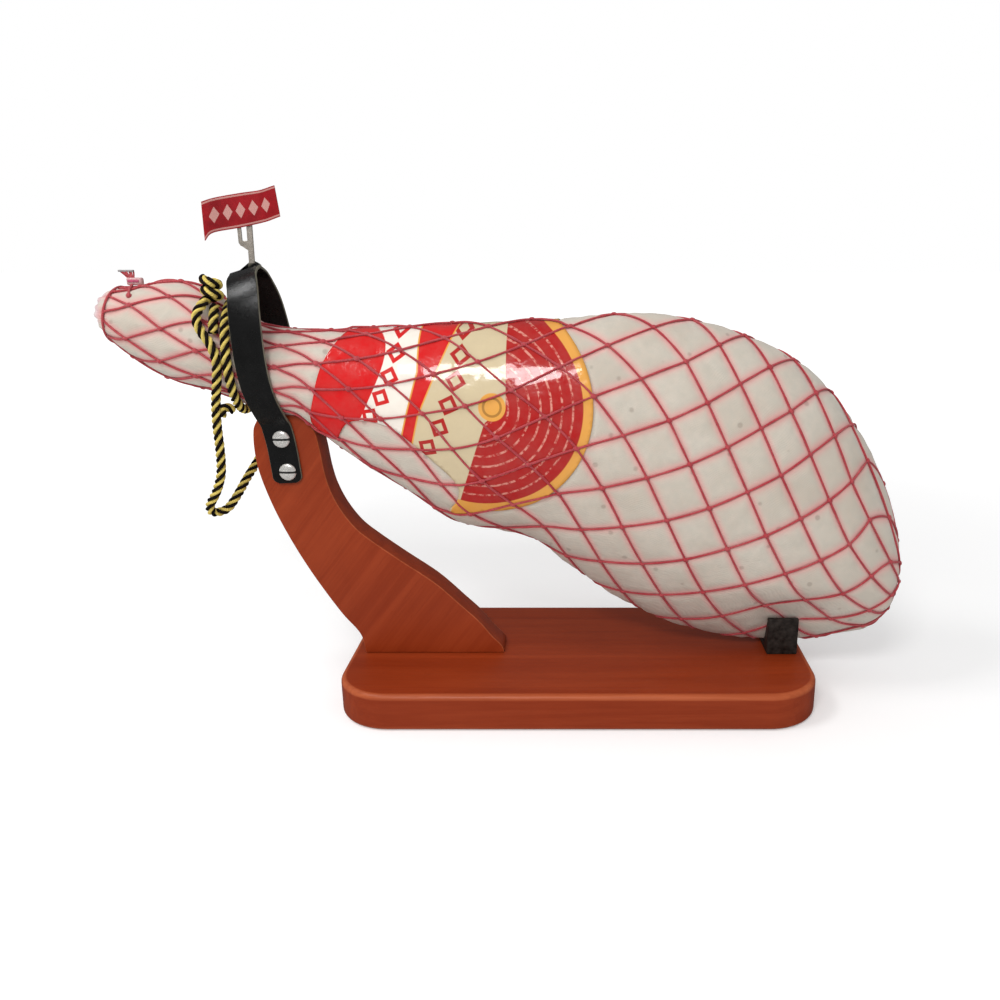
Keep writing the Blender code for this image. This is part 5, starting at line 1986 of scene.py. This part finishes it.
# Name, place, aim, width and height, and whether glossy surfaces mirror it
LAMPS = (
    ("key", (-0.34, -1.30, 1.32), (-0.06, 0.0, 0.3), (0.46, 0.36), True),
    ("side_key", (-0.98, -0.38, 1.50), (-0.25, 0.0, 0.3), (0.50, 0.36), True),
    ("fill", (-0.35, -1.8, 0.9), (0.0, 0.0, 0.2), (1.8, 1.3), False),
)


def floor_finish():
    finish, tree, shader, place = new_finish("studio_floor", 0.6)
    clouds = use(tree, "Mottle", {"Place": place, "Size": 0.8, "Contrast": 0.6})["Mask"]
    pale = blend(tree, clouds, (0.86, 0.86, 0.86), (0.83, 0.83, 0.83))
    ray = tree.nodes.new("ShaderNodeLightPath")
    # Dim in reflections, as a studio's floor is beyond the table
    link(tree, blend(tree, ray.outputs["Is Glossy Ray"], pale, (0.16, 0.16, 0.16)), shader, "Base Color")
    shader.inputs["Emission Color"].default_value = (1, 1, 1, 1)
    shader.inputs["Specular IOR Level"].default_value = 0.1
    seen = ray.outputs["Is Camera Ray"]
    # The floor brightens with distance, so that it meets the backdrop with no line
    way = put(tree, "ShaderNodeVectorMath", {0: place}, operation="LENGTH").outputs["Value"]
    glow = ramp(tree, step_up(tree, way, 0.3, 1.8), 0.42, 0.20)
    tree.links.new(calc(tree, "MULTIPLY", seen, glow), shader.inputs["Emission Strength"])
    return finish


def add_area(name, place, aim, size, power, mirrored):
    light = bpy.data.lights.new(name, "AREA")
    light.shape = "RECTANGLE"
    light.size, light.size_y = size
    light.energy = power
    lamp = bpy.data.objects.new(name, light)
    lamp.location = place
    lamp.rotation_euler = (Vector(aim) - Vector(place)).to_track_quat("-Z", "Y").to_euler()
    lamp.visible_glossy = mirrored
    bpy.context.scene.collection.objects.link(lamp)


def make_stage(looks):
    scene = bpy.context.scene
    scene.view_settings.view_transform = "Standard"
    lens = bpy.data.cameras.new("stand_camera")
    lens.lens = CAMERA_LENS
    lens.sensor_width = CAMERA_SENSOR
    lens.shift_x = CAMERA_SHIFT
    lens.clip_start = 0.05
    camera = bpy.data.objects.new("stand_camera", lens)
    camera.location = CAMERA_PLACE
    camera.rotation_euler = (math.radians(CAMERA_TILT_DEGREES), 0.0, 0.0)
    scene.collection.objects.link(camera)
    scene.camera = camera
    mesh = bpy.data.meshes.new("floor")
    corners = [(x * FLOOR_REACH, y * FLOOR_REACH, 0) for x, y in ((-1, -1), (1, -1), (1, 1), (-1, 1))]
    mesh.from_pydata(corners, [], [(0, 1, 2, 3)])
    mesh.materials.append(floor_finish())
    floor = bpy.data.objects.new("floor", mesh)
    floor.location = (0, 0, -FLOOR_DROP)
    scene.collection.objects.link(floor)
    world = bpy.data.worlds.new("studio")
    scene.world = world
    world.use_nodes = True
    tree = world.node_tree
    backdrop = tree.nodes["Background"]
    ray = tree.nodes.new("ShaderNodeLightPath")
    backdrop.inputs["Color"].default_value = (1, 1, 1, 1)
    # White where the camera sees it, softer as light and dim in reflections
    mirrored = calc(tree, "MULTIPLY", ray.outputs["Is Glossy Ray"], looks.reflected - looks.ambient)
    seen = calc(tree, "MULTIPLY", ray.outputs["Is Camera Ray"], 1.0 - looks.ambient)
    strength = calc(tree, "ADD", calc(tree, "ADD", mirrored, seen), looks.ambient)
    tree.links.new(strength, backdrop.inputs["Strength"])
    for name, place, aim, size, mirrored in LAMPS:
        add_area(name, place, aim, size, getattr(looks, name), mirrored)


# ---- what a user would change ----


def tint(name, description, default):
    return FloatVectorProperty(
        name=name,
        description=description,
        subtype="COLOR",
        size=3,
        min=0,
        max=1,
        default=default,
    )


def measure(name, description, default):
    return FloatProperty(
        name=name,
        description=description,
        default=default,
        min=0.0001,
        max=0.1,
        unit="LENGTH",
    )


def brightness(name, description, default, unit="NONE"):
    return FloatProperty(name=name, description=description, default=default, min=0, unit=unit)


class HamRopeLooks(bpy.types.PropertyGroup):
    """The rope's yarns and lay"""

    lay: measure("Lay", "Length of rope in which a strand goes once round", 0.020)
    light: tint("Light yarn", "Colour of every other strand", (0.90, 0.70, 0.17))
    dark: tint("Dark yarn", "Colour of the strands between them", (0.009, 0.004, 0.004))


class HamSleeveLooks(bpy.types.PropertyGroup):
    """The cotton sleeve"""

    puff: measure("Puff", "How far the cloth swells between the threads of the net", 0.0014)
    halo: measure("Dye spread", "How far the net's dye has run into the cloth", 0.0042)
    cloth: tint("Cloth", "Colour of the clean cloth", (0.575, 0.520, 0.445))
    shade: tint("Soiled cloth", "Colour of the darker clouds in the cloth", (0.500, 0.430, 0.355))
    grey: tint("Grey cloth", "Colour of the fine grey mottling", (0.44, 0.43, 0.37))
    dye: tint("Dye", "Colour of the stain beside the threads", (0.78, 0.31, 0.30))
    end: tint("Gathered end", "Colour of the folds at the shank's end", (0.58, 0.49, 0.52))


class HamNetLooks(bpy.types.PropertyGroup):
    """The knotted net and its clip"""

    thickness: measure("Thread", "Thickness of the net's thread", 0.0019)
    knot: measure("Knot", "Width of a knot in the net", 0.0040)
    thread: tint("Thread colour", "Colour of the net's thread", (0.56, 0.030, 0.048))
    worn: tint("Faded thread", "Colour of the thread where it has faded", (0.68, 0.11, 0.12))
    clip: tint("Clip", "Colour of the clip's body", (0.62, 0.36, 0.36))
    bar: tint("Clip bar", "Colour of the bar on the clip", (0.50, 0.08, 0.16))
    grey_bar: tint("End bar", "Colour of the bar over the thread ends", (0.30, 0.28, 0.28))


class HamLabelLooks(bpy.types.PropertyGroup):
    """The printed label"""

    red: tint("Red", "The label's bright red", (0.58, 0.008, 0.010))
    white: tint("White", "The label's white", (0.80, 0.74, 0.66))
    cream: tint("Cream", "The label's cream ground", (0.57, 0.47, 0.30))
    maroon: tint("Maroon", "The label's dark field", (0.38, 0.012, 0.012))
    gold: tint("Gold", "The label's ring and thin lines", (0.70, 0.33, 0.065))
    faint: tint("Faint lines", "The fine lines in the dark field", (0.72, 0.33, 0.26))


class HamWoodLooks(bpy.types.PropertyGroup):
    """The stand's stained wood"""

    grain: measure("Grain width", "Width of the wood's streaks", 0.006)
    light: tint("Light streaks", "Colour of the wood's light streaks", (0.315, 0.044, 0.009))
    dark: tint("Dark streaks", "Colour of the wood's dark streaks", (0.230, 0.027, 0.005))
    deep: tint("Deep stain", "Colour of the wood where the stain is deep", (0.165, 0.017, 0.003))
    # Partly wear, partly painted highlight along the rounded edges
    edge: tint("Lit and worn edge", "Colour of the worn edges, with painted highlight", (0.56, 0.15, 0.055))


class HamFittingLooks(bpy.types.PropertyGroup):
    """The strap, the steel, the flag and the rest block"""

    leather: tint("Leather", "Colour of the polished leather", (0.007, 0.007, 0.007))
    edge: tint("Cut edge", "Colour of the leather's cut edge", (0.20, 0.19, 0.14))
    steel: tint("Steel", "Colour of the screws", (0.86, 0.84, 0.80))
    pin: tint("Pin", "Colour of the flag's pin", (0.50, 0.45, 0.39))
    enamel: tint("Enamel", "Colour of the flag", (0.30, 0.008, 0.013))
    trim: tint("Trim", "Colour of the flag's thin lines and lozenges", (0.50, 0.27, 0.24))
    rubber: tint("Rubber", "Colour of the rest block", (0.008, 0.006, 0.005))


class HamStageLooks(bpy.types.PropertyGroup):
    """The studio round the stand"""

    ambient: brightness("Ambient", "Strength of the light from all round", 0.62)
    reflected: brightness("Reflected", "Brightness of the studio in reflections", 0.11)
    key: brightness("Key light", "Power of the light above and in front", 11.0, "POWER")
    side_key: brightness("Side light", "Power of the light over the shank", 8.0, "POWER")
    fill: brightness("Fill light", "Power of the light in front", 6.0, "POWER")


class HAM_OT_stage(bpy.types.Operator):
    """Sets up the camera, the floor and the lights"""

    bl_idname = "ham_stand.stage"
    bl_label = "Stage"

    def execute(self, context):
        make_stage(context.scene.ham_stage_looks)
        return {"FINISHED"}


class HAM_OT_rope(bpy.types.Operator):
    """Lays the knotted rope, its turn round the shank and its hanging loop"""

    bl_idname = "ham_stand.rope"
    bl_label = "Rope"

    def execute(self, context):
        make_rope(context.scene.ham_rope_looks)
        return {"FINISHED"}


class HAM_OT_sleeve(bpy.types.Operator):
    """Pulls the cotton sleeve over the leg"""

    bl_idname = "ham_stand.sleeve"
    bl_label = "Cotton Sleeve"

    def execute(self, context):
        make_sleeve(context.scene.ham_sleeve_looks)
        return {"FINISHED"}


class HAM_OT_label(bpy.types.Operator):
    """Folds the printed label over the leg"""

    bl_idname = "ham_stand.label"
    bl_label = "Label"

    def execute(self, context):
        make_label(context.scene.ham_label_looks)
        return {"FINISHED"}


class HAM_OT_net(bpy.types.Operator):
    """Knots the net round the leg and closes it with its clip"""

    bl_idname = "ham_stand.net"
    bl_label = "Net"

    def execute(self, context):
        make_net(context.scene.ham_net_looks)
        make_net_end(context.scene.ham_net_looks)
        return {"FINISHED"}


class HAM_OT_wood(bpy.types.Operator):
    """Shapes the board and the upright"""

    bl_idname = "ham_stand.wood"
    bl_label = "Board and Upright"

    def execute(self, context):
        make_board(context.scene.ham_wood_looks)
        make_upright(context.scene.ham_wood_looks)
        return {"FINISHED"}


class HAM_OT_fittings(bpy.types.Operator):
    """Fits the strap, its screws and the rest block"""

    bl_idname = "ham_stand.fittings"
    bl_label = "Strap, Screws and Rest Block"

    def execute(self, context):
        looks = context.scene.ham_fitting_looks
        make_strap(looks)
        make_screws(looks)
        make_rest_block(looks)
        finish_foot_screws(looks)
        return {"FINISHED"}


class HAM_OT_flag(bpy.types.Operator):
    """Sets the flag on its forked pin"""

    bl_idname = "ham_stand.flag"
    bl_label = "Flag and Pin"

    def execute(self, context):
        make_pin(context.scene.ham_fitting_looks)
        make_flag(context.scene.ham_fitting_looks)
        return {"FINISHED"}


class HAM_PT_stand(bpy.types.Panel):
    """The ham's and the stand's pieces"""

    bl_label = "Ham Stand"
    bl_space_type = "VIEW_3D"
    bl_region_type = "UI"
    bl_category = "Ham Stand"

    def draw(self, context):
        for operator in OPERATORS:
            self.layout.operator(operator.bl_idname)
        for name, group in LOOKS.items():
            box = self.layout.box()
            box.label(text=group.__doc__)
            for key in group.__annotations__:
                box.prop(getattr(context.scene, name), key)


LOOKS = {
    "ham_rope_looks": HamRopeLooks,
    "ham_sleeve_looks": HamSleeveLooks,
    "ham_net_looks": HamNetLooks,
    "ham_label_looks": HamLabelLooks,
    "ham_wood_looks": HamWoodLooks,
    "ham_fitting_looks": HamFittingLooks,
    "ham_stage_looks": HamStageLooks,
}
OPERATORS = (
    HAM_OT_stage,
    HAM_OT_rope,
    HAM_OT_sleeve,
    HAM_OT_label,
    HAM_OT_net,
    HAM_OT_wood,
    HAM_OT_fittings,
    HAM_OT_flag,
)


def register():
    for made in (*LOOKS.values(), *OPERATORS, HAM_PT_stand):
        bpy.utils.register_class(made)
    for name, group in LOOKS.items():
        setattr(bpy.types.Scene, name, PointerProperty(type=group))


def unregister():
    for name in LOOKS:
        delattr(bpy.types.Scene, name)
    for made in (HAM_PT_stand, *reversed(OPERATORS), *reversed(LOOKS.values())):
        bpy.utils.unregister_class(made)


def main():
    register()
    bpy.ops.ham_stand.stage()
    bpy.ops.ham_stand.rope()
    bpy.ops.ham_stand.sleeve()
    bpy.ops.ham_stand.label()
    bpy.ops.ham_stand.net()
    bpy.ops.ham_stand.wood()
    bpy.ops.ham_stand.fittings()
    bpy.ops.ham_stand.flag()


if __name__ == "__main__":
    main()
